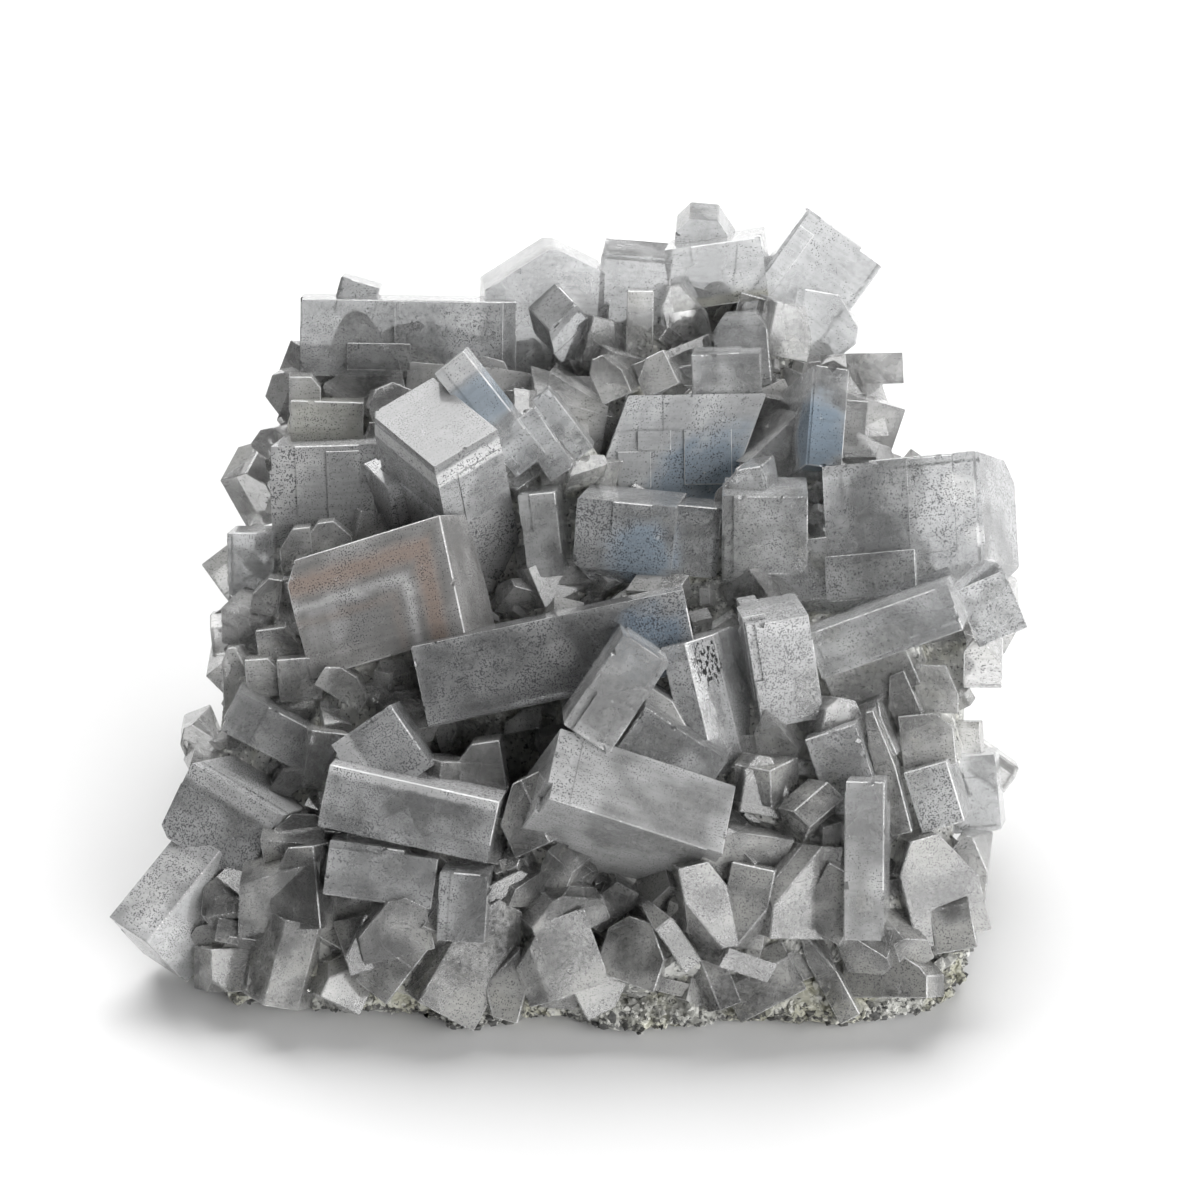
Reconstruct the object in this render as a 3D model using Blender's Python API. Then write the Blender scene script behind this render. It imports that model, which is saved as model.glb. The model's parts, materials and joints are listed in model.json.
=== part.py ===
"""Barite specimen: blocky gray barite crystals grown together on a wedge of dark broken rock.

The wedge is low at the front and tall at the back, and rests on the flat middle of its underside.
Lengths in the tables are millimetres and angles are degrees.  X runs left to right, Y front to
back and Z up.  Every crystal is a right-angled or slightly rhombic block, the habit of barite,
with its corners cut or its faces stepped where the growth stopped.
"""
import math

import bmesh
import bpy
from mathutils import Euler, Matrix, Vector, noise

MM = 0.001
GAP = 0.3            # clearance between neighbouring solids, mm
RIM_RISE = 3.5       # how far the outer rim of the underside clears the table, mm
REST_SHARE = 0.62    # share of the underside, from its middle, that is the flat rest face
ACROSS = 22          # rock facets from left to right
DEEP = 20            # rock facets from front to back
WALL_STEPS = 4       # rock facets down the side walls
ROUGH_COARSE = 1.3   # height of the coarse breaks of the rock, mm
ROUGH_FINE = 0.6     # height of its fine breaks, mm
RISE = 1.3           # how far the rock stands above the roots of the crystals, mm
ROOT_POWER = 3.0     # how tightly the rock follows the roots of the crystals


# ---------------------------------------------------------------- crystals

def crystal(at, size, turn, skew=0.0, cuts=(), ledges=(), root=None, reach=0.0):
    """One crystal: a block `size` centred `at`, turned, sheared by `skew`, with cut corners.

    A cut (a, b, c, d) keeps the points whose share of the half size satisfies ax + by + cz < d.
    A ledge (offset, size) is a raised growth step, a smaller block parallel to the crystal.
    `root` is the offset, as a share of the size, of the place where it leaves the rock.
    `reach` is how much further its hidden back end runs into the rock.
    """
    spin = Euler([math.radians(t) for t in turn]).to_matrix()
    at = tuple(Vector(at) + spin @ Vector((0.0, reach / 2, 0.0)))
    size = (size[0], size[1] + reach, size[2])
    return {"at": at, "size": size, "turn": turn, "skew": skew, "cuts": cuts,
            "ledges": ledges, "root": root}


UPRIGHT = (0.0, 0.1, -0.42)      # a crystal that stands on its end
LYING = (0.0, 0.2, -0.1)         # a crystal that leans back on the rock

# The large crystals, from the back of the specimen to the front.  Crystals that overlap are
# written under one name and are joined in one solid.
LARGE = {
    "crystal_back_centre": [
        crystal((-4.5, 33, 39.3), (14, 10, 22), (-18, 3, 4), root=(0, 0.2, -0.3),
                cuts=((-0.42, 0, 1, 1.0), (0.3, 0, 1, 1.05))),
        crystal((-0.6, 28.6, 41.2), (5.5, 5, 14), (10, -36, 24), cuts=((-1, 0, 1, 1.5),)),
    ],
    "crystal_back_leaning": [
        crystal((24.5, 36, 43), (10.5, 10, 18), (-28, 32, -16),
                ledges=(((-4.2, -4.4, -1), (2.2, 2.2, 16)),)),
        crystal((27.5, 32.5, 41), (7.5, 10, 8.5), (-25, 7, -8),
                cuts=((1, 0, 1, 1.25), (1, 0, -1, 1.2))),
    ],
    "crystal_back_top": [
        crystal((15.5, 37, 46.3), (11, 10.5, 7), (-20, -10, -2)),
        crystal((14.2, 40.5, 47), (7.5, 6, 9), (-6, 4, -3), cuts=((1, 0, 0.9, 1.15), (-1, 0, 1, 1.6))),
    ],
    "crystal_mid_top": [
        crystal((6, 36.2, 43.2), (8, 10.5, 11), (-14, 3, -4)),
    ],
    "crystal_back_left": [
        crystal((-19.5, 28, 42.5), (24, 11, 8.5), (-24, 2, 2),
                ledges=(((-3.2, -5.2, -2), (7, 1.6, 3)), ((4.5, -5.3, 0.4), (12, 1.2, 7.6)))),
        crystal((-25.5, 32.5, 44.5), (4.5, 7, 5), (-24, 15, -6)),
    ],
    "crystal_olive_block": [
        crystal((-28, 16, 38.5), (8, 10, 4.5), (-25, 3, 2)),
    ],
    "crystal_banded": [
        crystal((16, 17.5, 43.5), (7.5, 9, 5), (-23, -4, -2)),
        crystal((18, 25, 42.5), (6, 7, 8), (-22, -7, -3), cuts=((1, 0, 1, 1.6), (-1, 0, 1, 1.6))),
    ],
    "crystal_right_upright": [
        crystal((25, 11, 40), (4, 13, 11), (-41, 12, 6), root=(0, 0.2, -0.3)),
    ],
    "crystal_rhombic": [
        crystal((10.2, 10.9, 37.2), (15, 5.5, 12.5), (-28, 0, 2), skew=21, root=(0, 0.1, -0.5), reach=2,
                ledges=(((-2.4, -3.6, 2.6), (3.6, 1.1, 4.6)), ((-4.6, -3.6, -1.8), (3.6, 0.9, 4)),
                        ((3.4, -3.6, 0.8), (5.2, 1.0, 8.6)))),
    ],
    "crystal_tall_post": [
        crystal((-14, 1.5, 35.5), (8.5, 12, 25), (6, -13, 36), root=UPRIGHT,
                cuts=((-1, 0.9, 0.6, 2.3),)),
        crystal((-19.5, 3, 34), (4, 6, 12), (2, -9, 30), root=UPRIGHT),
    ],
    "crystal_left_cube": [
        crystal((-27.5, 9, 33.5), (11.5, 11, 11), (-23, -3, -2), root=(0, 0.3, -0.3),
                ledges=(((3, -5.4, 0), (5, 1, 9.8)),)),
    ],
    "crystal_left_outer": [
        crystal((-35.5, 2.6, 28), (5, 9.5, 7.5), (-26, 0, 0)),
    ],
    "crystal_blue_tip": [
        crystal((-9.5, 4, 46), (4, 5, 14), (-28, -36, 14)),
        crystal((-2, 8, 42.5), (2.5, 6, 8), (-30, -34, 16)),
        crystal((-4, 4.5, 42), (3, 6, 7.5), (-29, -31, 14)),
    ],
    "crystal_blue_block": [
        crystal((5, -3.5, 34.8), (10.5, 8, 9), (-21, 1, -9), reach=2,
                cuts=((0, -1, -1, 1.6), (-1, -0.4, -1, 1.9))),
        crystal((11.5, -3, 34.6), (6.5, 6, 7.5), (-24, 3, -5), reach=3),
    ],
    "crystal_slim": [
        crystal((-4, -3, 35.3), (4, 5, 9), (-22, -8, -3), root=UPRIGHT, reach=3),
    ],
    "crystal_right_stepped": [
        crystal((36, -5, 36.5), (17, 13, 14.5), (-34, -16, -18), root=(0, 0.3, -0.2),
                cuts=((1, 0, -1, 1.55), (1, 0.6, 1, 2.3)),
                ledges=(((-3.5, -6.3, -4.8), (10, 1.6, 4.6)), ((4.2, -6.2, 2), (6.5, 1.1, 10)))),
        crystal((19.5, -3, 35.5), (9, 10, 9.5), (-18, -1, -2), cuts=((0, -1, -1, 1.75),)),
        crystal((31, -6.6, 32.4), (19, 10, 8), (-33, -14, -12), cuts=((0, -1, -1, 1.6),)),
        crystal((18, 0, 40), (4.5, 6, 3.5), (-18, -16, -11), cuts=((-1, 0, 1, 1.2),)),
        crystal((43, -10.4, 30.8), (5.5, 9, 6.5), (-28, -22, 8)),
    ],
    "crystal_right_bar": [
        crystal((32, -15.8, 32), (15.5, 11.5, 5), (-23, -23, 0)),
    ],
    "crystal_brown_plate": [
        crystal((-20.5, -11.3, 32.3), (18, 8, 12.5), (-31, -22, -5), skew=4, root=(0, 0.3, -0.25), reach=3,
                cuts=((-1, 0, 0.4, 1.25),)),
    ],
    "crystal_long_prism": [
        crystal((-2.5, -19, 30), (28.5, 9, 8.5), (-28, -11, 5), root=(0.42, 0.4, 0), reach=1.5,
                cuts=((0, -1, -1, 1.88),)),
    ],
    "crystal_spotted_post": [
        crystal((13.2, -24.5, 27.5), (4.5, 7, 14), (-21, -23, -18), reach=3,
                cuts=((1, -1, 0, 1.3),)),
    ],
    "crystal_bright_post": [
        crystal((20.5, -22, 31), (6.5, 8, 11), (-18, -7, 8), reach=2,
                ledges=(((-2.2, 0.6, 1.6), (2.4, 8, 9)),)),
    ],
    "crystal_striated": [
        crystal((3.5, -27.7, 31.7), (5.5, 10, 11), (-29, 31, -14), reach=3),
    ],
    "crystal_mid_slab": [
        crystal((9.2, -30.5, 25.5), (10, 4.5, 6), (-25, 30, -16), reach=4),
    ],
    "crystal_hollow_plate": [
        crystal((-20, -30, 25), (7.5, 5, 7.5), (-36, -31, 16), reach=3),
    ],
    "crystal_left_bar": [
        crystal((-31.5, -20.5, 21.5), (11.5, 8, 4.5), (-30, 26, -11)),
    ],
    "crystal_left_plate": [
        crystal((-35, -26, 14.5), (11.5, 13, 8.5), (-28, 15, -30),
                cuts=((-1, 0, -1, 1.75), (-1, 0, 0.7, 1.6))),
    ],
    "crystal_corner_blade": [
        crystal((-41, -33, 8.2), (6, 12, 9.5), (31, 1, -44), root=(0, 0.4, 0.1)),
    ],
    "crystal_front_bar": [
        crystal((-17, -34.5, 21.5), (17.5, 7, 6.5), (-25, 9, -9), reach=4),
    ],
    "crystal_front_block": [
        crystal((-20, -37.2, 15.8), (11, 9, 5.5), (-29, 7, -4)),
        crystal((-11.5, -39.7, 13.8), (5, 9, 7), (-26, 2, -5)),
        crystal((-15.5, -38.2, 13.2), (5, 7, 4.5), (-30, 4, -4)),
    ],
    "crystal_front_chisel": [
        crystal((3.5, -32.5, 18), (19, 8, 17.5), (29, 21, -1), root=(0, 0.4, -0.2),
                cuts=((1, -0.4, -0.9, 1.7), (-1, 0, -1.1, 1.75))),
    ],
    "crystal_right_block": [
        crystal((27, -30, 23.5), (5.5, 6, 8.5), (-26, -21, 0), reach=3),
    ],
    "crystal_thin_bar": [
        crystal((29, -38, 18), (4, 8, 16), (-28, -4, -8)),
    ],
    "crystal_right_small": [
        crystal((36.5, -29, 19.5), (4.8, 6, 6.5), (-28, -20, -1), reach=3),
    ],
    "crystal_right_pale": [
        crystal((42, -17.5, 12), (5, 7, 8), (-27, -10, -6)),
    ],
    "crystal_rear_block": [
        crystal((-14, 40, 31), (11, 7, 8), (24, 12, -10), root=(0, -0.3, 0)),
    ],
    "crystal_rear_slab": [
        crystal((8, 40.5, 28), (13, 6, 9), (30, -20, 8), root=(0, -0.3, 0)),
    ],
    "crystal_rear_post": [
        crystal((23, 39.5, 24), (6, 8, 12), (28, 24, 20), root=(0, -0.3, 0)),
    ],
}

# The small crystals that are grown into the rock: centre, size, turn.
SMALL = (
    # skyline and back slope
    ((-30.5, 18.5, 40.5), (3.5, 7, 4), (-23, 2, 3)),
    ((30, 16.5, 38), (3, 8, 5), (-25, 2, -7)),
    ((8.5, 17.5, 43.2), (4, 10, 4), (-32, -25, 7)),
    ((3.5, 17, 43.2), (3.5, 10, 5), (-30, -24, 5)),
    ((6.5, 27.5, 44), (3, 6, 8), (-22, 0, -2)),
    ((-2.5, 6, 39), (4, 7, 4.5), (-24, -7, 2)),
    ((22.5, 27, 44), (5, 7, 6), (-20, 16, 8)),
    ((-11, 24, 39), (6, 7, 5), (-30, -20, 12)),
    ((4, 24, 40), (6, 7, 5), (-14, 24, 20)),
    ((-14, 13, 38.5), (7, 7, 6), (-24, 14, -8)),
    ((-21, 19, 38.5), (6, 7, 5), (-30, -16, 20)),
    ((-6, 17, 37), (5, 7, 7), (-20, 34, 6)),
    ((11, 33, 42.5), (5, 8, 8), (-20, -8, 14)),
    ((20, 31, 42), (6, 8, 7), (-24, 12, -10)),
    ((1, 28, 41.5), (5, 8, 6), (-22, 24, 18)),
    ((-23, 3, 31), (5, 6, 6), (-22, 20, 14)),
    # left side
    ((-30.5, -0.5, 32), (3.5, 6, 4.5), (-25, -4, 4)),
    ((-26.8, 0.2, 32.8), (4.5, 6, 4), (-24, -6, 5)),
    ((-38, -6, 24.5), (3, 7, 4.5), (-28, -3, 5)),
    ((-36.5, -11, 22.5), (3, 7, 6.5), (-26, -1, 4)),
    ((-32, -10, 26), (4.5, 6, 3.5), (-26, -5, 6)),
    ((-33.5, -13.5, 24), (3.5, 6, 4), (-27, -2, 4)),
    ((-29.5, -14.5, 24.5), (4.5, 6, 4.5), (-26, -3, 4)),
    ((-33.5, -4.5, 28.5), (3, 6, 4), (-26, 9, -2)),
    ((-24.5, -17.5, 25.5), (5.5, 5, 3), (-30, 27, -16)),
    ((-30.5, -14.5, 20.5), (9.5, 7, 3.5), (-21, 1, 0)),
    ((-40, -16, 17), (4, 6, 6), (-20, -18, 12)),
    ((-37.5, 10, 22), (6, 6, 5), (10, -30, 24)),
    ((-36, 20, 28), (5, 7, 7), (4, -24, -14)),
    ((-37.5, 4, 14), (5, 8, 6), (-8, -40, 6)),
    # dark hollow and the crystals around it
    ((-10.5, -27.5, 21.8), (5.5, 7, 5.5), (-28, -8, 3)),
    ((8, -25.5, 28), (7, 5, 3), (-29, 28, -19)),
    ((-8, -12, 24), (5, 5, 6), (-10, 24, 30)),
    ((1.5, -12.5, 27), (4, 6, 5), (-30, -12, -20)),
    ((-15, -12, 22), (4, 5, 6), (12, -20, 40)),
    ((-26, -24, 20.5), (6, 6, 6), (-26, 14, 10)),
    ((-14, -29, 21), (5, 6, 5), (-20, 20, 30)),
    ((-5, -33, 20), (6, 6, 7), (-32, -24, 8)),
    ((26, -25.5, 26), (5, 6, 5), (-30, 20, 12)),
    ((30, -24, 24), (5, 6, 6), (-22, -30, -8)),
    # right side
    ((42.5, -12.5, 25), (4, 8, 5), (-29, -3, -6)),
    ((37, -18, 25.5), (4.5, 9, 5), (-29, -1, -3)),
    ((36, -23, 22.5), (5.5, 9, 5.5), (-29, -8, -2)),
    ((30.5, -18.5, 27), (9, 8, 4.5), (-29, -24, 5)),
    ((33.5, -21.5, 26), (3, 6, 6), (-32, -25, 4)),
    ((31.5, -29, 22.5), (2.2, 6, 13), (-28, -17, -1)),
    ((44.3, -10.5, 10.6), (5, 6, 3), (-29, 31, -18)),
    ((44, 0, 24), (6, 6, 7), (-6, 28, 12)),
    ((37, 14, 30), (6, 7, 6), (-10, 34, -10)),
    ((34.5, 24, 24), (6, 8, 7), (8, 30, 16)),
    # front right
    ((19, -31.5, 23), (4.5, 5, 4), (-11, -12, -36)),
    ((23, -34.5, 21.5), (4.5, 5, 5.5), (19, 26, -40)),
    ((36, -33.5, 11.5), (8, 9, 11), (-28, -8, 16)),
    ((37, -35.5, 8.5), (6.5, 9, 6.5), (-32, -12, 1)),
    ((40.5, -28.5, 10), (4, 9, 7), (-30, 2, -9)),
    ((26, -39, 13.5), (5, 6, 7), (-26, 22, -20)),
    ((12.5, -40.5, 14), (4.5, 6, 9), (-28, -7, 12)),
    ((17, -40.5, 13.8), (4.5, 5, 8.5), (-29, 5, -14)),
    ((21.2, -38.5, 14.5), (7.5, 7, 9.5), (-24, 17, 22)),
    ((18, -31, 22), (5, 6, 6), (-30, 18, 10)),
    ((8.5, -40.5, 10.5), (2.2, 6, 8), (-28, -24, 30)),
    ((-2, -39.5, 12.5), (8, 5, 4.5), (-18, -12, 26)),
    # front rim
    ((-29.6, -40.5, 6.8), (6.5, 6, 9), (-20, 26, 22)),
    ((-22, -41, 9.6), (4.8, 5, 5.5), (-32, -10, 16)),
    ((-11.3, -41.2, 8), (7, 5, 13), (-25, 38, 8)),
    ((-2.6, -41.5, 8.4), (8.5, 6, 8), (-27, -15, 14)),
    ((6, -41.2, 8.6), (6.5, 6, 6.5), (-34, 9, -20)),
    ((18.3, -41.6, 5.4), (7.5, 5, 5.5), (-28, -24, 14)),
    ((25.2, -41.6, 6.2), (2.3, 5, 10), (-28, -28, 8)),
    ((32, -40.3, 5.4), (9, 6, 5.5), (-34, -13, -18)),
    ((13.4, -42, 6), (3.6, 5, 6.5), (-30, -18, 12)),
    ((-36, -38.8, 4.6), (6, 5, 4.5), (-28, 13, 24)),
    ((-28, -37, 13.6), (5.5, 6, 8.5), (-28, -15, -16)),
    ((-24.5, -41.6, 5), (5, 5, 5), (-34, 38, 10)),
    ((-18.6, -41.8, 8), (4, 6, 7), (-22, 30, -24)),
    ((-7, -42, 5.4), (4, 5, 7.5), (-31, 10, -14)),
    ((2, -41.8, 4.7), (6, 5, 4.5), (-30, -18, 22)),
)

# The corner cuts that the small crystals have, taken in turn down the list.
HABITS = (
    ((1, 0, 1, 1.4),), (), ((-1, 0, 1, 1.05),), ((1, 0, 0.8, 1.05), (-1, 0, 0.9, 1.4)),
    ((0, -1, 1, 1.4),), ((1, -0.6, 1, 1.6), (-1, 0, 1, 1.5)), ((1, 0, 0.5, 0.9),),
)

# Places on the rock's upper surface away from any crystal: the floor and back of the dark hollow,
# the front rim, and the slopes at the sides and the back.
GROUND = (
    (-15, -24, 9), (-9, -26, 9), (-3, -25, 9), (-12, -19, 10), (-5, -19, 10), (2, -20, 13),
    (-8, -10, 27), (-2, -11, 29), (5, -11, 30), (11, -14, 29), (5, -26, 25), (10, -25, 25),
    (-8, -3, 26), (-3, -7, 28), (-9, 5, 30), (2, 14, 33), (8, 15, 33), (20, 12, 33),
    (-2, 20, 35), (12, 22, 36), (4, 32, 38), (18, 33, 38), (-22, -9, 28),
    (-15, -9, 27), (32, -13, 30), (25, -13, 30), (39, -9, 27),
    (-40, -36, 5), (-30, -42, 4), (-18, -43, 4), (-6, -44, 5), (6, -43, 5), (18, -43, 5),
    (30, -42, 5), (38, -37, 6), (43, -25, 12), (-42, -28, 9), (-41, -14, 14),
    (-38, 0, 20), (-36, 14, 26), (-34, 28, 30), (-26, 38, 32), (-8, 40, 34), (8, 41, 36),
    (24, 41, 33), (33, 30, 32), (36, 16, 30), (43, 4, 26),
)

# Left and right edge of the rock at a distance from the front: (y, left, right).
OUTLINE = (
    (-43.5, -38, 34), (-37, -42, 38), (-30, -42, 38.5), (-20, -39.5, 40), (-10, -37.5, 41),
    (0, -35.5, 40), (10, -34, 35), (20, -33, 32), (30, -31, 31), (36, -29, 29.5), (39, -27, 28),
)
CORNER = 6.0         # how far the front and back edges curve in at their corners, mm


# ---------------------------------------------------------------- materials

def material(name, colour, roughness, clear=0.0):
    mat = bpy.data.materials.new(name)
    mat.use_nodes = True
    shader = mat.node_tree.nodes["Principled BSDF"]
    shader.inputs["Base Color"].default_value = (*colour, 1.0)
    shader.inputs["Roughness"].default_value = roughness
    shader.inputs["Metallic"].default_value = 0.0
    shader.inputs["IOR"].default_value = 1.64 if clear else 1.5
    shader.inputs["Transmission Weight"].default_value = clear
    mat.diffuse_color = (*colour, 1.0)
    return mat


def crystal_colour(name):
    """Gray, with the faint tints that some of the crystals have."""
    if name in ("crystal_rhombic", "crystal_blue_block", "crystal_blue_tip"):
        return (0.44, 0.48, 0.54)
    if name == "crystal_brown_plate":
        return (0.45, 0.41, 0.38)
    if name == "crystal_olive_block":
        return (0.5, 0.5, 0.43)
    if name in ("crystal_striated", "crystal_front_chisel", "crystal_thin_bar"):
        return (0.6, 0.6, 0.6)
    return (0.46, 0.47, 0.48)


# ---------------------------------------------------------------- mesh helpers

def clip(bm, normal, point):
    """Cut away what lies beyond the plane and close the cut with a flat face."""
    everything = bm.verts[:] + bm.edges[:] + bm.faces[:]
    cut = bmesh.ops.bisect_plane(bm, geom=everything, plane_co=point, plane_no=normal,
                                 clear_outer=True)
    rim = [item for item in cut["geom_cut"] if isinstance(item, bmesh.types.BMEdge)]
    if rim:
        bmesh.ops.contextual_create(bm, geom=rim)


def block_mesh(size, turn, at, skew=0.0, cuts=(), grow=0.0):
    """A closed block in millimetres, grown outwards by `grow` on every side."""
    bm = bmesh.new()
    bmesh.ops.create_cube(bm, size=2.0)
    for a, b, c, d in cuts:
        normal = Vector((a, b, c))
        clip(bm, normal, normal * (d / normal.length_squared))
    half = [s / 2 + grow for s in size]
    lean = math.tan(math.radians(skew))
    for vert in bm.verts:
        x, y, z = vert.co
        vert.co = (x * half[0] + z * half[2] * lean, y * half[1], z * half[2])
    place = Matrix.Translation(at) @ Euler([math.radians(t) for t in turn]).to_matrix().to_4x4()
    bmesh.ops.transform(bm, matrix=place, verts=bm.verts)
    bmesh.ops.recalc_face_normals(bm, faces=bm.faces)
    return bm


def to_object(name, bm):
    mesh = bpy.data.meshes.new(name)
    bm.to_mesh(mesh)
    bm.free()
    obj = bpy.data.objects.new(name, mesh)
    bpy.context.scene.collection.objects.link(obj)
    return obj


def evaluated(obj):
    graph = bpy.context.evaluated_depsgraph_get()
    return bpy.data.meshes.new_from_object(obj.evaluated_get(graph))


def volume(mesh):
    """Enclosed volume of a mesh, or zero where it is open."""
    bm = bmesh.new()
    bm.from_mesh(mesh)
    closed = all(edge.is_manifold for edge in bm.edges)
    found = bm.calc_volume() if closed else 0.0
    bm.free()
    return found


def sound(mesh, before, tool, operation):
    """True where a Boolean's result is closed and has lost no more than the tool could take."""
    least = before if operation == "UNION" else before - tool
    return volume(mesh) > least - 0.5


def combine(target, tool, operation):
    """Apply one Boolean and take the tool away."""
    step = target.modifiers.new("step", "BOOLEAN")
    step.operation = operation
    step.solver = "EXACT"
    step.object = tool
    before = volume(target.data)
    room = volume(tool.data)
    result = evaluated(target)
    if not sound(result, before, room, operation):
        bpy.data.meshes.remove(result)
        step.solver = "MANIFOLD"
        result = evaluated(target)
    target.modifiers.remove(step)
    old = target.data
    target.data = result
    bpy.data.meshes.remove(old)
    spent = tool.data
    bpy.data.objects.remove(tool)
    bpy.data.meshes.remove(spent)


def islands(bm):
    """The connected pieces of a mesh, as lists of faces."""
    left = set(bm.faces)
    found = []
    while left:
        stack = [left.pop()]
        piece = []
        while stack:
            face = stack.pop()
            piece.append(face)
            for edge in face.edges:
                if len(edge.link_faces) != 2:
                    continue
                for other in edge.link_faces:
                    if other in left:
                        left.remove(other)
                        stack.append(other)
        found.append(piece)
    return found


def size_of(faces):
    """Enclosed volume of a closed piece."""
    total = 0.0
    for face in faces:
        first = face.verts[0].co
        for one, two in zip(face.verts[1:-1], face.verts[2:]):
            total += first.dot(one.co.cross(two.co)) / 6
    return total


def tidy(obj, weld=0.002):
    """Weld stray points, merge flat faces and keep the one main body."""
    bm = bmesh.new()
    bm.from_mesh(obj.data)
    bmesh.ops.remove_doubles(bm, verts=bm.verts, dist=weld)
    bmesh.ops.dissolve_degenerate(bm, edges=bm.edges, dist=weld)
    bmesh.ops.dissolve_limit(bm, angle_limit=math.radians(0.5), verts=bm.verts, edges=bm.edges)
    pieces = sorted(islands(bm), key=size_of)
    spare = [face for piece in pieces[:-1] for face in piece]
    bmesh.ops.delete(bm, geom=spare, context="FACES")
    loose = [vert for vert in bm.verts if not vert.link_faces]
    bmesh.ops.delete(bm, geom=loose, context="VERTS")
    bmesh.ops.triangulate(bm, faces=bm.faces)
    bm.to_mesh(obj.data)
    bm.free()


# ---------------------------------------------------------------- crystals as solids

def turned(item, offset):
    """A point given in the crystal's own axes, in the axes of the specimen."""
    spin = Euler([math.radians(t) for t in item["turn"]]).to_matrix()
    return Vector(item["at"]) + spin @ Vector(offset)


def crystal_blocks(item, grow=0.0):
    """The blocks that make one crystal: its body and the growth steps raised on it."""
    yield block_mesh(item["size"], item["turn"], item["at"], item["skew"], item["cuts"], grow)
    for offset, size in item["ledges"]:
        yield block_mesh(size, item["turn"], turned(item, offset), 0.0, (), grow)


def large_crystal(name, items):
    obj = None
    for item in items:
        for bm in crystal_blocks(item):
            if obj is None:
                obj = to_object(name, bm)
            else:
                combine(obj, to_object("joined", bm), "UNION")
    return obj


def extent(items, grow=0.0):
    corners = []
    for item in items:
        for bm in crystal_blocks(item, grow):
            corners += [vert.co.copy() for vert in bm.verts]
            bm.free()
    low = [min(c[i] for c in corners) for i in range(3)]
    high = [max(c[i] for c in corners) for i in range(3)]
    return low, high


def apart(one, two):
    return any(one[1][i] < two[0][i] or two[1][i] < one[0][i] for i in range(3))


def trim(obj, items):
    """Cut the room that the crystal `items` takes, and the gap round it, out of `obj`."""
    for item in items:
        for bm in crystal_blocks(item, GAP):
            combine(obj, to_object("room", bm), "DIFFERENCE")


# ---------------------------------------------------------------- rock

def root_of(item):
    share = item["root"] or LYING
    return turned(item, [s * r for s, r in zip(item["size"], share)])


def ground_points():
    points = [Vector(p) for p in GROUND]
    for items in LARGE.values():
        points += [root_of(item) for item in items]
    for at, size, turn in SMALL:
        item = {"at": at, "turn": turn, "size": size, "root": (0, 0.12, 0)}
        points.append(root_of(item))
    return points


def ground_height(x, y, points):
    """Height of the rock at (x, y), drawn through the roots of the crystals."""
    total = 0.0
    weight = 0.0
    for p in points:
        near = ((x - p.x) ** 2 + (y - p.y) ** 2 + 2.0) ** (-ROOT_POWER / 2)
        total += near * p.z
        weight += near
    return total / weight


def edge_at(y, column):
    for (y0, *a), (y1, *b) in zip(OUTLINE, OUTLINE[1:]):
        if y <= y1:
            t = (y - y0) / (y1 - y0)
            return a[column] + (b[column] - a[column]) * t
    return OUTLINE[-1][column + 1]


def footprint(u, v):
    """Place of the share (u, v) of the rock's plan, both from 0 to 1."""
    front = OUTLINE[0][0]
    back = OUTLINE[-1][0]
    y = front + (back - front) * v
    left = edge_at(y, 0)
    right = edge_at(y, 1)
    curve = CORNER * abs(2 * u - 1) ** 4 * (1 - 2 * v) ** 3
    return left + (right - left) * u, y + curve


def broken(place, coarse, fine):
    """Rough breaks: two sizes of noise, sharpened to ledges."""
    big = noise.noise(place * 0.16) * 2.0
    small = noise.noise(place * 0.45 + Vector((7.0, 3.0, 5.0))) * 2.0
    return coarse * round(big * 2.5) / 2.5 + fine * small


def rough(place, amount):
    shift = Vector((broken(place, ROUGH_COARSE, ROUGH_FINE),
                    broken(place + Vector((31, 0, 0)), ROUGH_COARSE, ROUGH_FINE),
                    broken(place + Vector((0, 57, 0)), ROUGH_COARSE, ROUGH_FINE)))
    return place + shift * amount


def rock_top(u, v, points):
    x, y = footprint(u, v)
    place = rough(Vector((x, y, 0)), 0.2)
    place.z = ground_height(x, y, points)
    inner = min(1.0, 10 * min(u, 1 - u, v, 1 - v))
    place.z += inner * (RISE + broken(Vector((x, y, 90)), ROUGH_COARSE, ROUGH_FINE))
    return place


def rock_floor(u, v):
    x, y = footprint(u, v)
    inward = Vector((x * 0.9, (y + 2) * 0.93 - 2, 0.0))
    share = max(abs(u - 0.5), abs(v - 0.5)) * 2
    if share < REST_SHARE:
        return inward
    rise = (share - REST_SHARE) / (1 - REST_SHARE)
    lifted = rough(inward, 0.3 * rise)
    lifted.z = max(0.25, RIM_RISE * rise ** 1.3 + 2 * abs(lifted.z) * rise)
    return lifted


def rim_loop():
    """The grid places round the edge of the rock, in order."""
    loop = [(i, 0) for i in range(ACROSS)]
    loop += [(ACROSS, j) for j in range(DEEP)]
    loop += [(i, DEEP) for i in range(ACROSS, 0, -1)]
    loop += [(0, j) for j in range(DEEP, 0, -1)]
    return loop


def grid(bm, place):
    """A sheet of points with its faces left open, returned as a dictionary."""
    verts = {}
    for i in range(ACROSS + 1):
        for j in range(DEEP + 1):
            verts[i, j] = bm.verts.new(place(i / ACROSS, j / DEEP))
    return verts


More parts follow.
